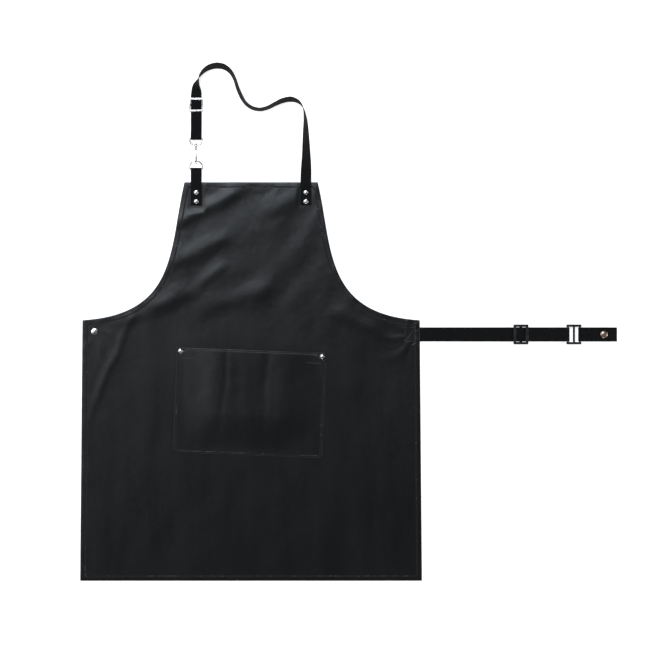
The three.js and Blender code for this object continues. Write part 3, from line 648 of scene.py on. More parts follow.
def quiet(x, y):
    """Goes to 0 where something is fixed to the panel, so that the sheet lies flat there."""
    lx, ly = local_pocket(x, y)
    outside = math.hypot(max(abs(lx) - POCKET_SIZE[0] / 2, 0), max(abs(ly) - POCKET_SIZE[1] / 2, 0))
    share = smooth(0, 45, outside)
    if y > 590:
        for side in (-1, 1):
            beside = math.hypot(max(abs(x - side * STRAP_X) - 9.5, 0), max(655 - y, 0))
            share *= smooth(0, 9, beside)
    return share * smooth(5, 30, math.hypot(x - STUD[0], y - STUD[1]))


def dip(x, y, edge):
    """How far the panel may hang below lying flat: nowhere near its turned edge or over the waist strap's end."""
    root = math.hypot(max(268 - x, 0), max(abs(y - WAIST_STRAP_Y) - 13, 0))
    return -1.1 * smooth(12, 30, edge) * smooth(2, 20, root)


def panel_relief(x, y, edge):
    """How far the panel stands above lying flat, in millimetres, at a distance from its edge."""
    strength = bpy.context.scene.apron_sizes.creases
    bib = smooth(430, 520, y)
    height = 0.6 * wave(x, y, 150, 1.3) + (0.3 + 0.75 * bib) * wave(x * 0.8 - y * 0.6, x * 0.25 + y * 0.33, 34, 4.1)
    height += 0.45 * (1 - bib) * wave(x, y * 0.22, 62, 2.2)
    if y > 240:
        height += sum(swell(x, y, *places) for places in SWELLS)
    near = math.exp(-edge / 14)
    height += (0.35 + 0.45 * smooth(450, 480, y)) * near * (wave(x, y, 17, 9.1) + 0.35)
    for cx, cy, reach in ((281, 436, 34), (-281, 440, 32)):
        radius = math.hypot(x - cx, y - cy)
        if radius < 150:
            angle = math.atan2(y - cy, x - cx)
            pucker = max(math.sin(7 * angle + 0.08 * radius), 0) * smooth(4, 16, radius)
            height += (1.9 if cx > 0 else 1.0) * math.exp(-radius / reach) * pucker
    height += 0.12 * wave(x, y, 9, 3.3)
    if y > 685:
        height += 0.45 * near * max(wave(x, y, 6.5, 5.2) + 0.1, 0)
    return strength * max(height, dip(x, y, edge)) * quiet(x, y)


def fold_rows(depth, drop):
    """A turned edge as (outwards, up) rows: round the fold, then flat beneath."""
    radius = drop / 2
    rows = [(radius * math.sin(a), -radius + radius * math.cos(a)) for a in np.linspace(0, math.pi, 7)[1:]]
    rows += [(-depth * share, -drop) for share in (0.35, 0.7, 1.0)]
    return [(outwards / 1000, up / 1000) for outwards, up in rows]


def settle(bm, relief, base_line, layer):
    """Writes each point's distance from the edge and lifts it by the relief there."""
    bm.verts.ensure_lookup_table()
    flat = np.array([(v.co.x * 1000, v.co.y * 1000 + HEM_SHIFT) for v in bm.verts])
    edge = distances(flat, base_line)
    for vert, (x, y), distance in zip(bm.verts, flat, edge):
        vert[layer] = distance
        vert.co.z += relief(x, y, distance) / 1000


def build_panel():
    columns, low_rows, high_rows = 168, 120, 74
    side = even_armhole(high_rows + 1)
    rows = low_rows + high_rows

    def place(u, v):
        row = round(v * rows)
        across = 2 * u - 1
        if row <= low_rows:
            y = WAIST_HEIGHT * row / low_rows
            half = HEM_HALF_WIDTH + (WAIST_HALF_WIDTH - HEM_HALF_WIDTH) * y / WAIST_HEIGHT
            return metres(across * half, y, PANEL_MIDDLE), 0.0
        edge_x, edge_y = side[row - low_rows]
        middle_y = WAIST_HEIGHT + (PANEL_LENGTH - WAIST_HEIGHT) * (row - low_rows) / high_rows
        share = abs(across) ** 2.2
        return metres(across * edge_x, middle_y * (1 - share) + edge_y * share, PANEL_MIDDLE), 0.0

    bm = mapped_grid(columns, rows, place, ("seam",))
    layer = bm.verts.layers.float["seam"]
    turn_edge(bm, fold_rows(10.0, 1.35))
    settle(bm, panel_relief, panel_outline(), layer)
    bmesh.ops.recalc_face_normals(bm, faces=bm.faces)
    piece = finish_piece(bm, "panel", "panel", "apron", ["apron_panel"])
    thicken(piece, PANEL_SHEET / 1000)


def panel_top(x, y, edge=EDGE_SEAM):
    return PANEL_MIDDLE + PANEL_SHEET / 2 + panel_relief(x, y, edge)


def rubbed(x, y):
    """Where the panel's edge thread is rubbed light: along the top, by the right strap, here and there below."""
    limit = 0.5
    if y > 690:
        limit = -0.15 if abs(x) < 88 else 0.2
    elif x > 100 and y > 600:
        limit = 0.1
    elif y < 12:
        limit = 0.32
    return wave(x, y, 8, 6.6) > limit


def build_panel_stitches():
    for name, thread, where in (
        ("panel_stitches", "dark_thread", lambda x, y: not rubbed(x, y)),
        ("panel_light_stitches", "faded_thread", rubbed),
    ):
        bm = bmesh.new()
        sew(bm, inset_line(panel_outline(), EDGE_SEAM), panel_top, closed=True, sunk=0.12, where=where)
        finish_piece(bm, name, thread, "apron")


def build_corner_stitches():
    """The light bar tacks that hold the waist strap and reinforce the stud's corner."""
    bm = bmesh.new()
    for offset in (-12.0, 12.0):
        sew(bm, [(270, WAIST_STRAP_Y + offset), (292, WAIST_STRAP_Y + offset)], panel_top, sunk=0.1)
    for x in (271, 289):
        sew(bm, [(x, WAIST_STRAP_Y - 12), (x, WAIST_STRAP_Y + 12)], panel_top, sunk=0.1)
    sew(bm, [(272, WAIST_STRAP_Y - 11), (288, WAIST_STRAP_Y + 11)], panel_top, sunk=0.1)
    for shift in (0.0, 0.9, 1.8):
        sew(bm, [(282 + shift, WAIST_STRAP_Y - 19), (290 + shift, WAIST_STRAP_Y - 14)], panel_top, sunk=0.05)
    finish_piece(bm, "waist_root_stitches", "light_thread", "apron")


# ------------------------------------------------------------------ pocket

# where each lies across the pocket, how it leans, its half width and its height
POCKET_CREASES = ((-68, 0.05, 14, 0.35), (-4, -0.04, 13, 0.8), (58, 0.10, 18, 0.6), (-108, -0.08, 12, 0.3),
                  (-47, 0.06, 6, -0.75), (27, 0.02, 7, -0.6))


def pocket_relief(lx, ly):
    """How far the pocket's front stands above its sewn rim, in millimetres."""
    strength = bpy.context.scene.apron_sizes.creases
    half_width, half_height = POCKET_SIZE[0] / 2, POCKET_SIZE[1] / 2
    from_side, from_bottom, from_top = half_width - abs(lx), ly + half_height, half_height - ly
    proud = POCKET_RISE * smooth(POCKET_MARGIN, POCKET_MARGIN + POCKET_SIDE_SLOPE, from_side)
    proud *= smooth(POCKET_MARGIN, POCKET_MARGIN + POCKET_FOOT_SLOPE, from_bottom)
    inside = smooth(5, 34, from_side) * smooth(5, 34, from_bottom)
    crease = 0.0
    for centre, lean, width, height in POCKET_CREASES:
        offset = lx - centre - lean * ly - 5 * wave(0, ly, 60, centre)
        crease += height * math.exp(-((offset / width) ** 2)) * (0.35 + 0.65 * smooth(-80, 60, ly))
    crease += 0.6 * wave(lx, ly, 70, 5.5) + 0.2 * wave(lx, ly, 24, 8.8)
    mouth = 0.5 * wave(lx, 0, 26, 2.7) * smooth(26, 0, from_top) * smooth(0, 18, from_side)
    rim = 0.14 * (wave(lx, ly, 9, 6.1) + 0.4) * smooth(14, 4, min(from_side, from_bottom))
    return max(proud + strength * inside * (crease + mouth), 0.0) + max(rim, 0.0)


def pocket_height(x, y):
    return POCKET_MIDDLE + POCKET_SHEET / 2 + pocket_relief(*local_pocket(x, y))


def build_pocket():
    width, height = POCKET_SIZE

    def place(u, v):
        lx, ly = (u - 0.5) * width, (v - 0.5) * height
        return metres(*from_pocket(lx, ly), POCKET_MIDDLE), 0.0

    bm = mapped_grid(124, 88, place, ("seam",))
    layer = bm.verts.layers.float["seam"]
    corners = [from_pocket(a * width / 2, b * height / 2) for a, b in ((-1, -1), (1, -1), (1, 1), (-1, 1))]
    turn_edge(bm, fold_rows(9.0, 0.72))
    settle(bm, lambda x, y, edge: pocket_relief(*local_pocket(x, y)), corners, layer)
    bmesh.ops.recalc_face_normals(bm, faces=bm.faces)
    piece = finish_piece(bm, "pocket_front", "pocket", "apron", ["pocket"])
    thicken(piece, POCKET_SHEET / 1000)


def pocket_rubbed(x, y):
    """Where the pocket's side and foot thread is rubbed light."""
    lx, ly = local_pocket(x, y)
    limit = 0.42 if ly > -84 else (-0.1 if lx < -10 or lx > 95 else 0.3)
    return wave(lx, ly, 7, 4.4) > limit


def build_pocket_stitches():
    route = [from_pocket(*p) for p in dense([(-128, 84), (-128, -89), (128, -89), (128, 84)])]
    bm = bmesh.new()
    sew(bm, route, pocket_height, sunk=0.08, where=lambda x, y: not pocket_rubbed(x, y))
    finish_piece(bm, "pocket_dark_stitches", "dark_thread", "apron")
    bm = bmesh.new()
    sew(bm, route, pocket_height, sunk=0.08, where=pocket_rubbed)
    sew(bm, [from_pocket(*p) for p in dense([(-118, 89), (118, 89)])], pocket_height, sunk=0.08)
    for side in (-1, 1):
        sew(bm, [from_pocket(side * 128, 78), from_pocket(side * 112, 89)], pocket_height, sunk=0.05)
        sew(bm, [from_pocket(side * 124, 74), from_pocket(side * 98, 74)], pocket_height, sunk=0.08)
    finish_piece(bm, "pocket_stitches", "faded_thread", "apron")


def dense(points, step=2.0):
    """The same line with points no further apart than the step."""
    out = [np.array(points[0], float)]
    for a, b in zip(points, points[1:]):
        a, b = np.array(a, float), np.array(b, float)
        count = max(int(np.linalg.norm(b - a) / step), 1)
        out += [a + (b - a) * k / count for k in range(1, count + 1)]
    return out


# ------------------------------------------------------------------ webbing


class Line:
    """A smooth line through points, even where they lie at uneven distances."""

    def __init__(self, points):
        self.points = [np.array(p, float) for p in points]

    def at(self, t):
        p, last = self.points, len(self.points) - 1
        place = min(max(t, 0.0), 1.0) * last
        i = min(int(place), last - 1)
        w = place - i
        before = p[i - 1] if i > 0 else 2 * p[0] - p[1]
        after = p[i + 2] if i + 2 <= last else 2 * p[last] - p[last - 1]
        a, b = p[i], p[i + 1]
        d0, d1, d2 = (np.linalg.norm(q - r) ** 0.5 for q, r in ((before, a), (a, b), (b, after)))
        m1 = ((a - before) / d0 - (b - before) / (d0 + d1) + (b - a) / d1) * d1
        m2 = ((b - a) / d1 - (after - a) / (d1 + d2) + (after - b) / d2) * d1
        return a + m1 * w + (-3 * a + 3 * b - 2 * m1 - m2) * w**2 + (2 * a - 2 * b + m1 + m2) * w**3

    def tangent(self, t):
        low, high = max(t - 1e-4, 0.0), min(t + 1e-4, 1.0)
        along = self.at(high) - self.at(low)
        return along / np.linalg.norm(along)


def strap_frames(route, per_span):
    """The middle, side and up of a strap's cross-sections, as the frame's own straps lie."""
    line = Line([p[:3] for p in route])
    steps = (len(route) - 1) * per_span
    carried = Vector((0, 1, 0)) if abs(line.tangent(0)[0]) > 0.5 else Vector((1, 0, 0))
    frames = []
    for k in range(steps + 1):
        along = Vector(line.tangent(k / steps))
        level = Vector((along.y, -along.x, 0))
        if level.length > 0.01:
            carried = (level * math.copysign(1, level.dot(carried))).normalized()
        span = min(k // per_span, len(route) - 2)
        share = k / per_span - span
        turn = math.radians(route[span][3] * (1 - share) + route[span + 1][3] * share)
        side = Matrix.Rotation(turn, 3, along) @ carried
        frames.append((Vector(line.at(k / steps)), side, along.cross(side)))
    return frames


def strap_section(width, across=12):
    """A strap's cross-section: flat faces with slightly thicker woven edges."""
    half, mid = width / 2, WOVEN_THICKNESS / 2
    top = []
    for k in range(across + 1):
        x = -half + width * k / across
        edge = half - abs(x)
        top.append((x, mid * (0.55 if edge < 0.01 else 1.0 if edge < 2.4 else 0.86)))
    return top + [(x, -y) for x, y in reversed(top)]


def strap_mesh(route, width, per_span):
    """A strap along a route of (x, y, z, turn in degrees), and its length in millimetres."""
    frames = strap_frames(route, per_span)
    section = strap_section(width)
    count, steps = len(section), len(frames) - 1
    run = [0.0]
    for (a, *_), (b, *_) in zip(frames, frames[1:]):
        run.append(run[-1] + (b - a).length)

    def place(u, v):
        x, y = section[round(u * count) % count]
        k = round(v * steps)
        middle, side, up = frames[k]
        point = middle + side * x + up * y
        return metres(*point), x, run[k]

    bm = mapped_grid(count, steps, place, ("across", "along"))
    bmesh.ops.remove_doubles(bm, verts=bm.verts, dist=1e-7)
    bmesh.ops.holes_fill(bm, edges=[e for e in bm.edges if e.is_boundary], sides=0)
    bmesh.ops.recalc_face_normals(bm, faces=bm.faces)
    return bm, run[-1]


def turn_round(along, z, radius, forward, point):
    angles = [math.radians(d) for d in (90, 45, 0, -45, -90)]
    return [point(along + forward * radius * math.cos(a), z + radius * math.sin(a)) for a in angles]


def turn_radius(bar):
    """How far a strap's middle lies from the middle of the bar that it turns round."""
    return bar + PLAY + WEBBING / 2


def standing(turn):
    """The height of a strap's middle where it stands turned on the floor."""
    angle = math.radians(turn)
    return NECK_WEBBING / 2 * math.sin(angle) + FLOOR_LAYER * abs(math.cos(angle)) + 0.3


# the strap from the right rivets to the slider: x, y and how far it is turned on edge, in degrees
NECK_ROUTE = [
    (97.3, 745.7, 38), (97.0, 768.7, 50), (96.6, 790.7, 60), (95.6, 814, 74), (91.5, 832.1, 88), (83.6, 842, 100),
    (70, 846.4, 110), (55.4, 843.8, 108), (41.4, 837.4, 103), (30.4, 831.8, 101), (16.2, 828.3, 100),
    (1.8, 831.3, 102), (-9, 839.2, 104), (-16.2, 850, 108), (-23.4, 866.2, 108), (-28.7, 882.4, 106),
    (-36.1, 895.1, 108), (-46.6, 903, 112), (-59.3, 905.5, 114), (-71.8, 903, 110), (-82.5, 896.5, 102),
    (-90.5, 886.5, 90), (-95, 874, 55),
]


def left_strap(y, z):
    return (-STRAP_X, y, z, 0)


def build_neck_strap():
    turn = turn_radius(EYE_WIRE)
    route = [
        (STRAP_X, STRAP_END_Y, FIRST_LAYER, 0),
        (STRAP_X, PANEL_LENGTH - 8, FIRST_LAYER, 0),
        (STRAP_X, PANEL_LENGTH + 6, FIRST_LAYER, 2),
        (STRAP_X + 0.4, PANEL_LENGTH + 22, standing(14), 14),
        *[(x, y, standing(t), t) for x, y, t in NECK_ROUTE],
        (-STRAP_X + 0.3, 862, NECK_FRONT, 18),
        left_strap(NECK_SLIDER_Y + 14, NECK_FRONT),
        left_strap(NECK_SLIDER_Y, NECK_FRONT),
        left_strap(NECK_SLIDER_Y - 25, NECK_FRONT),
        left_strap(NECK_SLIDER_Y - 42, NECK_FRONT),
        left_strap(NECK_SLIDER_Y - 50, NECK_FRONT + 2.4),
        *turn_round(EYE_BAR_Y, HOOK_AXIS_Z, turn, -1, left_strap),
        left_strap(NECK_SLIDER_Y - 47, HOOK_AXIS_Z - turn - 2),
        left_strap(NECK_SLIDER_Y - 38, FLOOR_LAYER + 0.3),
        left_strap(NECK_SLIDER_Y - 20, FLOOR_LAYER),
        left_strap(NECK_SLIDER_Y + 9, FLOOR_LAYER),
    ]
    bm, length = strap_mesh(route, NECK_WEBBING, 8)
    piece = finish_piece(bm, "neck_webbing", "webbing", "apron", ["neck_strap"], sharp=50)


def build_neck_tab():
    radius = turn_radius(WIRE)
    bar_y, bar_z = D_RING_BAR
    route = [
        left_strap(STRAP_END_Y, SECOND_LAYER),
        left_strap(PANEL_LENGTH - 8, SECOND_LAYER),
        left_strap(PANEL_LENGTH + 8, SECOND_LAYER + 0.3),
        *turn_round(bar_y, bar_z, radius, 1, left_strap),
        left_strap(PANEL_LENGTH + 12, bar_z - radius + 0.8),
        left_strap(PANEL_LENGTH + 4, FIRST_LAYER),
        left_strap(PANEL_LENGTH - 8, FIRST_LAYER),
        left_strap(STRAP_END_Y, FIRST_LAYER),
    ]
    bm, length = strap_mesh(route, NECK_WEBBING, 8)
    piece = finish_piece(bm, "ring_tab", "webbing", "apron", ["neck_tab"], sharp=50)


def waist_point(x, z):
    return (x, WAIST_STRAP_Y, z, 0)


def build_waist_strap():
    turn = turn_radius(PLASTIC_BAR)
    bar_z = turn + WEBBING / 2
    bar_x = WAIST_LOOP_X - LOOP_BAR_PITCH
    seam = 300.3
    route = [
        waist_point(seam - 30, FLOOR_LAYER),
        waist_point(seam - 12, FLOOR_LAYER),
        waist_point(seam - 5, FLOOR_LAYER),
        waist_point(seam, FLOOR_LAYER),
        waist_point(seam + 5, FLOOR_LAYER),
        waist_point(seam + 25, FLOOR_LAYER),
        waist_point(seam + 50, FLOOR_LAYER + 0.6),
        waist_point(WAIST_SLIDER_X - 85, WAIST_FRONT - 0.3),
        waist_point(WAIST_SLIDER_X - 70, WAIST_FRONT),
        waist_point(WAIST_SLIDER_X, WAIST_FRONT),
        waist_point(WAIST_SLIDER_X + 56, WAIST_FRONT),
        waist_point(bar_x - 14, WAIST_FRONT + 0.3),
        *turn_round(bar_x, bar_z, turn, 1, waist_point),
        waist_point(bar_x - 4, FLOOR_LAYER + 0.15),
        waist_point(bar_x - 16, FLOOR_LAYER + 0.15),
        waist_point(WAIST_SLIDER_X, FLOOR_LAYER),
        waist_point(WAIST_SLIDER_X - 9, FLOOR_LAYER),
    ]
    bm, length = strap_mesh(route, WAIST_WEBBING, 10)
    nodes = ["waist_strap", "waist_strap_root"]
    piece = finish_piece(bm, "waist_webbing", "webbing", None, nodes, sharp=50)
    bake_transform(piece, "apron", "waist_strap", metres(seam - 4, WAIST_STRAP_Y), metres(seam + 4, WAIST_STRAP_Y))


def level(z):
    """A flat surface for stitches to lie on."""
    return lambda x, y: z


def tab_levels():
    """The heights of the end tab's two layers, above the snap's socket."""
    lower = turn_radius(SOCKET_TOP)
    return lower, lower + WEBBING + PLAY


def build_waist_tab():
    turn = turn_radius(PLASTIC_BAR)
    bar_z = turn + WEBBING / 2
    bar_x = WAIST_LOOP_X + LOOP_BAR_PITCH
    lower, upper = tab_levels()
    route = [
        waist_point(TAB_END_X, upper),
        waist_point(SNAP_X - 8, upper),
        waist_point(bar_x + 16, upper + 0.1),
        *turn_round(bar_x, bar_z, turn, -1, waist_point),
        waist_point(bar_x + 4, FLOOR_LAYER + 0.15),
        waist_point(bar_x + 9, FLOOR_LAYER + 0.5),
        waist_point(SNAP_X - 14, lower - 0.2),
        waist_point(SNAP_X - 8, lower),
        waist_point(TAB_END_X, lower),
    ]
    bm, length = strap_mesh(route, WAIST_WEBBING, 8)
    piece = finish_piece(bm, "end_tab", "webbing", "waist_tab", ["waist_tab"], sharp=50)
    bm = bmesh.new()
    low_y, high_y = WAIST_STRAP_Y - 9.5, WAIST_STRAP_Y + 9.5
    line = [(593, low_y), (641, low_y), (641, high_y), (593, high_y)]
    sew(bm, dense(line), level(upper + STITCH_LEVEL), closed=True)
    finish_piece(bm, "tab_stitches", "dark_thread", "waist_tab")


def build_strap_stitches():
    bm = bmesh.new()
    for x, layer in ((-STRAP_X, SECOND_LAYER), (STRAP_X, FIRST_LAYER)):
        sew(bm, dense([(x - 7.5, 695), (x + 7.5, 695)]), level(layer + STITCH_LEVEL))
    finish_piece(bm, "strap_stitches", "dark_thread", "apron")


# ------------------------------------------------------------------ hardware


def spun(profile, x, y, steps=48):
    """A round solid from (radius, height) pairs, standing at a point of the apron."""
    bm = bmesh.new()
    verts = [bm.verts.new((r / 1000, 0, z / 1000)) for r, z in profile]
    edges = [bm.edges.new(pair) for pair in zip(verts, verts[1:])]
    bmesh.ops.spin(
        bm, geom=verts + edges, cent=(0, 0, 0), axis=(0, 0, 1), angle=2 * math.pi, steps=steps, use_merge=True
    )
    bmesh.ops.remove_doubles(bm, verts=bm.verts, dist=1e-7)
    bmesh.ops.recalc_face_normals(bm, faces=bm.faces)
    bmesh.ops.translate(bm, verts=bm.verts, vec=metres(x, y))
    return bm


def arc(radius_from, z_from, radius_to, z_to, count):
    """Points from one place on a profile to another, bulging outwards."""
    angles = [k / count * math.pi / 2 for k in range(count + 1)]
    return [
        (radius_from + (radius_to - radius_from) * (1 - math.cos(a)), z_from + (z_to - z_from) * math.sin(a))
        for a in angles
    ]


def build_rivets():
    """Rivets, each with a dished cap above and a flat back beneath the panel."""
    upper_y, lower_y = STRAP_RIVET_Y
    seats = {
        "neck_tab_rivet_upper": (-STRAP_X, upper_y, SECOND_LAYER + WEBBING / 2),
        "neck_tab_rivet_lower": (-STRAP_X, lower_y, SECOND_LAYER + WEBBING / 2),
        "neck_strap_rivet_upper": (STRAP_X, upper_y, FIRST_LAYER + WEBBING / 2),
        "neck_strap_rivet_lower": (STRAP_X, lower_y, FIRST_LAYER + WEBBING / 2),
        "pocket_rivet_left": (*from_pocket(-125, 86), 4.2),
        "pocket_rivet_right": (*from_pocket(125, 86), 4.2),
    }
    for name, (x, y, seat) in seats.items():
        low = seat + 0.15
        profile = [(0, BACK_LOW), (3.2, BACK_LOW), (3.5, BACK_LOW + 0.3), (3.5, BACK_HIGH)]
        profile += [(1.2, BACK_HIGH), (1.2, low), (3.75, low), (4.0, low + 0.25), (4.0, low + 0.5)]
        profile += arc(4.0, low + 0.5, 2.9, low + 1.15, 4)[1:]
        profile += [(2.5, low + 1.05), (2.2, low + 1.1), (1.4, low + 1.45), (0.7, low + 1.6), (0, low + 1.65)]
        bm = spun(profile, x, y, 40)
        finish_piece(bm, name + "_cap", "nickel", "apron", [name], sharp=40)


def build_stud():
    x, y = STUD
    seat = 2.95
    profile = [(1.5, seat), (5.2, seat), (5.6, seat + 0.3), (5.5, seat + 0.75), (5.0, seat + 0.95), (2.4, seat + 0.8)]
    profile += [(1.9, seat + 0.95), (1.85, seat + 1.5), (2.15, seat + 2.0), (2.0, seat + 2.5), (1.5, seat + 2.7)]
    profile += [(0, seat + 2.65), (0, seat + 2.0), (1.5, seat + 2.0), (1.5, seat)]
    bm = spun(profile, x, y)
    finish_piece(bm, "waist_stud_cap", "nickel", "apron", ["waist_stud"], sharp=40)
    post = [(0, BACK_LOW), (5.0, BACK_LOW), (5.3, BACK_LOW + 0.3), (5.3, BACK_HIGH)]
    post += [(1.2, BACK_HIGH), (1.2, seat + 1.7), (0, seat + 1.7)]
    bm = spun(post, x, y)
    finish_piece(bm, "waist_stud_back", "nickel", "apron", ["waist_stud_post"], sharp=40)


def build_snap():
    _, upper = tab_levels()
    seat = upper + WEBBING / 2 + 0.2
    cap = [(0, 2.5), (1.2, 2.5), (1.2, seat), (5.9, seat), (6.3, seat + 0.25), (6.3, seat + 0.5)]
    cap += [(6.0, seat + 0.95), (5.2, seat + 1.25), (4.6, seat + 1.15), (4.3, seat + 1.25), (3.0, seat + 1.7)]
    cap += [(1.4, seat + 1.95), (0, seat + 2.0)]
    bm = spun(cap, SNAP_X, WAIST_STRAP_Y, 56)
    finish_piece(bm, "tab_snap_cap", "snap_cap", "waist_tab", ["snap_cap"], sharp=40)
    socket = [(1.5, 2.3), (2.5, 2.3), (2.5, 0.3), (2.8, 0.05), (4.6, 0.05), (5.1, 0.5), (5.2, 3.0), (4.9, 3.2)]
    socket += [(1.5, 3.2), (1.5, 2.3)]
    bm = spun(socket, SNAP_X, WAIST_STRAP_Y)
    finish_piece(bm, "tab_socket", "nickel", "waist_tab", ["snap_socket"], sharp=40)


def wire_loop(points, radius, sides=14):
    """A closed ring of round wire that lies level, as a tube."""
    ring = [Vector(p) for p in points]
    count = len(ring)

    def place(u, v):
        k = round(v * count) % count
        along = (ring[(k + 1) % count] - ring[k - 1]).normalized()
        side = along.cross(Vector((0, 0, 1)))
        angle = 2 * math.pi * (round(u * sides) % sides) / sides
        rise = Vector((0, 0, radius * math.sin(angle)))
        return ((ring[k] + side * radius * math.cos(angle) + rise) / 1000,)

    bm = mapped_grid(sides, count, place)
    bmesh.ops.remove_doubles(bm, verts=bm.verts, dist=1e-7)
    bmesh.ops.recalc_face_normals(bm, faces=bm.faces)
    return bm


def d_points(radius, depth, corner=2.2):
    """The centre line of a D: a straight bar at the origin and a bow reaching along Y by its depth."""
    half = NECK_WEBBING / 2 + 0.5 + radius
    leg = 0.3 * depth
    inner = half - corner  # where the bar ends and a corner begins
    first, last = np.linspace(0.3, math.pi / 2, 6), np.linspace(0, math.pi / 2 - 0.3, 6)
    line = [(x, 0.0, 0.0) for x in np.linspace(-half + corner, inner, 12)]
    line += [(inner + corner * math.sin(a), corner - corner * math.cos(a), 0) for a in first]
    line += [(half * math.cos(a), leg + (depth - leg) * math.sin(a), 0) for a in np.linspace(0, math.pi, 34)]
    line += [(-half + corner - corner * math.cos(a), corner - corner * math.sin(a), 0) for a in last]
    return line


def build_rings():
    bar_y, bar_z = D_RING_BAR
    bm = wire_loop(d_points(WIRE, D_RING_DEPTH), WIRE)
    lean = math.asin((HOOK_AXIS_Z - bar_z) / D_RING_DEPTH)
    bmesh.ops.rotate(bm, verts=bm.verts, cent=(0, 0, 0), matrix=Matrix.Rotation(lean, 3, "X"))
    bmesh.ops.translate(bm, verts=bm.verts, vec=metres(-STRAP_X, bar_y, bar_z))
    finish_piece(bm, "d_ring_wire", "nickel", "d_ring", ["d_ring"])
    bm = wire_loop(d_points(EYE_WIRE, EYE_DEPTH), EYE_WIRE)
    bmesh.ops.rotate(bm, verts=bm.verts, cent=(0, 0, 0), matrix=Matrix.Rotation(math.pi, 3, "Z"))
    bmesh.ops.translate(bm, verts=bm.verts, vec=metres(-STRAP_X, EYE_BAR_Y, HOOK_AXIS_Z))
    barrel = [(1.8, 760.0), (2.7, 760.0), (3.0, 760.5), (3.0, 761.6), (2.75, 762.0), (3.0, 762.4), (3.0, 765.4)]
    barrel += [(2.6, 766.2), (1.8, 766.4), (1.8, 760.0)]
    tube = spun(barrel, 0, HEM_SHIFT, 32)
    bmesh.ops.rotate(tube, verts=tube.verts, cent=(0, 0, 0), matrix=Matrix.Rotation(-math.pi / 2, 3, "X"))
    bmesh.ops.translate(tube, verts=tube.verts, vec=(-STRAP_X / 1000, -HEM_SHIFT / 1000, HOOK_AXIS_Z / 1000))
    take_in(bm, tube)
    finish_piece(bm, "swivel_eye", "nickel", "apron", ["hook_eye"], sharp=40)


def dressed(node, name, body, material, slot, width, degrees=30.0):
    """A softened copy of a frame part whose shape is already right."""
    bm = bmesh.new()
    bm.from_mesh(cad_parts[node].data)
    bmesh.ops.remove_doubles(bm, verts=bm.verts, dist=1e-7)
    bmesh.ops.dissolve_limit(bm, angle_limit=math.radians(1), verts=bm.verts, edges=bm.edges)
    bevel_sharp(bm, width, 3, degrees)
    finish_piece(bm, name, material, body, [node], sharp=30)


# CAD node, piece, body, material, material slot and width of the softened edges in metres
FITTINGS = (
    ("neck_slider", "neck_slider_frame", "neck_slider", "nickel", "nickel", 0.00035),
    ("snap_hook", "snap_hook_body", "snap_hook", "nickel", "nickel", 0.0003),
    ("hook_gate", "hook_gate_tongue", "hook_gate", "nickel", "nickel", 0.0002),
    ("hook_gate_pin", "hook_gate_rivet", "snap_hook", "nickel", "nickel", 0.0001),
    ("waist_slider", "waist_slider_frame", "waist_slider", "plastic", "black_plastic", 0.0004),
    ("waist_loop", "waist_loop_frame", "waist_loop", "plastic", "black_plastic", 0.0004),
)


def build_fittings():
    for fitting in FITTINGS:
        dressed(*fitting)


# ------------------------------------------------------------------ stage


CAMERA_PLACE, LENS, SENSOR = (0.1267, 0.4402, 2.727), 85, 36
LIT_POINT = (0.1, 0.42, 0)
# name, place and size in metres, power in watts and colour
SOFTBOXES = (
    ("left softbox", (-2.0, 0.9, 2.4), (2.2, 1.6), 26, (1, 1, 1)),
    ("right softbox", (3.2, 0.1, 1.0), (1.8, 1.0), 42, (1, 1, 1)),
    ("front softbox", (0.2, -2.7, 1.0), (2.0, 1.0), 38, (1, 1, 1)),
    ("back softbox", (-0.4, 2.05, 2.6), (1.8, 1.0), 52, (0.82, 0.9, 1.0)),
)
FLOOR_SIZE, FLOOR_MIDDLE = 15.0, (0.12, 0.44, -0.0003)
FLOOR_COLOUR, FLOOR_GLOW = (0.9, 0.9, 0.9, 1), 0.7
SKY_COLOUR, SKY_STRENGTH = (0.95, 0.97, 1.0, 1), 0.1


def area_light(name, place, size, power, colour):
    data = bpy.data.lights.new(name, "AREA")
    data.shape = "RECTANGLE"
    data.size, data.size_y = size
    data.energy = power
    data.color = colour
    light = bpy.data.objects.new(name, data)
    light.location = place
    light.rotation_euler = (Vector(LIT_POINT) - Vector(place)).to_track_quat("-Z", "Y").to_euler()
    bpy.context.scene.collection.objects.link(light)


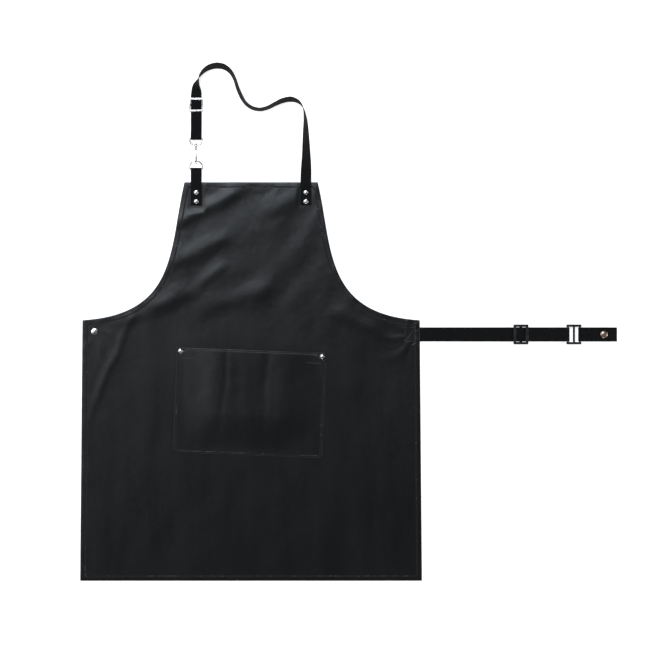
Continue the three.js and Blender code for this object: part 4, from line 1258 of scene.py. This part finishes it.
def build_stage():
    bm = bmesh.new()
    bmesh.ops.create_grid(bm, x_segments=1, y_segments=1, size=FLOOR_SIZE)
    bmesh.ops.translate(bm, verts=bm.verts, vec=FLOOR_MIDDLE)
    mesh = bpy.data.meshes.new("floor")
    bm.to_mesh(mesh)
    bm.free()
    floor = bpy.data.objects.new("floor", mesh)
    bpy.context.scene.collection.objects.link(floor)
    paper = bpy.data.materials.new("pale floor")
    paper.use_nodes = True
    shader = paper.node_tree.nodes["Principled BSDF"]
    shader.inputs["Base Color"].default_value = FLOOR_COLOUR
    shader.inputs["Roughness"].default_value = 0.9
    shader.inputs["Specular IOR Level"].default_value = 0.1
    shader.inputs["Emission Color"].default_value = (1, 1, 1, 1)
    shader.inputs["Emission Strength"].default_value = FLOOR_GLOW
    mesh.materials.append(paper)
    world = bpy.data.worlds.new("studio")
    bpy.context.scene.world = world
    world.use_nodes = True
    background = world.node_tree.nodes["Background"]
    background.inputs["Color"].default_value = SKY_COLOUR
    background.inputs["Strength"].default_value = SKY_STRENGTH
    bpy.context.scene.view_settings.view_transform = "Standard"
    for softbox in SOFTBOXES:
        area_light(*softbox)
    camera_data = bpy.data.cameras.new("camera")
    camera_data.lens = LENS
    camera_data.sensor_width = SENSOR
    camera_data.dof.use_dof = False
    camera = bpy.data.objects.new("camera", camera_data)
    camera.location = CAMERA_PLACE
    camera.rotation_euler = (0, 0, 0)
    bpy.context.scene.collection.objects.link(camera)
    bpy.context.scene.camera = camera


# ------------------------------------------------------------------ operators


class APRON_OT_stage(bpy.types.Operator):
    """Lays the floor and sets up the lights, the camera and the materials"""

    bl_idname = "apron.stage"
    bl_label = "Stage"

    def execute(self, context):
        materials.update(make_materials())
        build_stage()
        return {"FINISHED"}


class APRON_OT_panel(bpy.types.Operator):
    """Makes the panel with its turned and sewn edge"""

    bl_idname = "apron.panel"
    bl_label = "Panel"

    def execute(self, context):
        build_panel()
        build_panel_stitches()
        build_corner_stitches()
        return {"FINISHED"}


class APRON_OT_pocket(bpy.types.Operator):
    """Makes the patch pocket and its stitches"""

    bl_idname = "apron.pocket"
    bl_label = "Pocket"

    def execute(self, context):
        build_pocket()
        build_pocket_stitches()
        return {"FINISHED"}


class APRON_OT_hardware(bpy.types.Operator):
    """Makes the rivets, press studs, rings, hook and sliders"""

    bl_idname = "apron.hardware"
    bl_label = "Hardware"

    def execute(self, context):
        build_rivets()
        build_stud()
        build_snap()
        build_rings()
        build_fittings()
        return {"FINISHED"}


class APRON_OT_straps(bpy.types.Operator):
    """Makes the neck strap, its ring tab, the waist strap and its end tab"""

    bl_idname = "apron.straps"
    bl_label = "Straps"

    def execute(self, context):
        build_neck_strap()
        build_neck_tab()
        build_waist_strap()
        build_waist_tab()
        build_strap_stitches()
        return {"FINISHED"}


class APRON_PT_sidebar(bpy.types.Panel):
    """Lists the apron's sizes, colours and pieces"""

    bl_idname = "APRON_PT_sidebar"
    bl_label = "Bib apron"
    bl_space_type = "VIEW_3D"
    bl_region_type = "UI"
    bl_category = "Apron"

    def draw(self, context):
        for settings in (context.scene.apron_sizes, context.scene.apron_colours):
            for name in settings.__annotations__:
                self.layout.prop(settings, name)
        for operator in OPERATORS:
            self.layout.operator(operator.bl_idname)


OPERATORS = (APRON_OT_stage, APRON_OT_panel, APRON_OT_pocket, APRON_OT_hardware, APRON_OT_straps)
CLASSES = (ApronSizes, ApronColours, *OPERATORS, APRON_PT_sidebar)


def register():
    for item in CLASSES:
        bpy.utils.register_class(item)
    bpy.types.Scene.apron_sizes = PointerProperty(type=ApronSizes)
    bpy.types.Scene.apron_colours = PointerProperty(type=ApronColours)


def unregister():
    del bpy.types.Scene.apron_colours
    del bpy.types.Scene.apron_sizes
    for item in reversed(CLASSES):
        bpy.utils.unregister_class(item)


def main():
    register()
    bpy.ops.apron.stage()
    bpy.ops.apron.panel()
    bpy.ops.apron.pocket()
    bpy.ops.apron.hardware()
    bpy.ops.apron.straps()


if __name__ == "__main__":
    main()
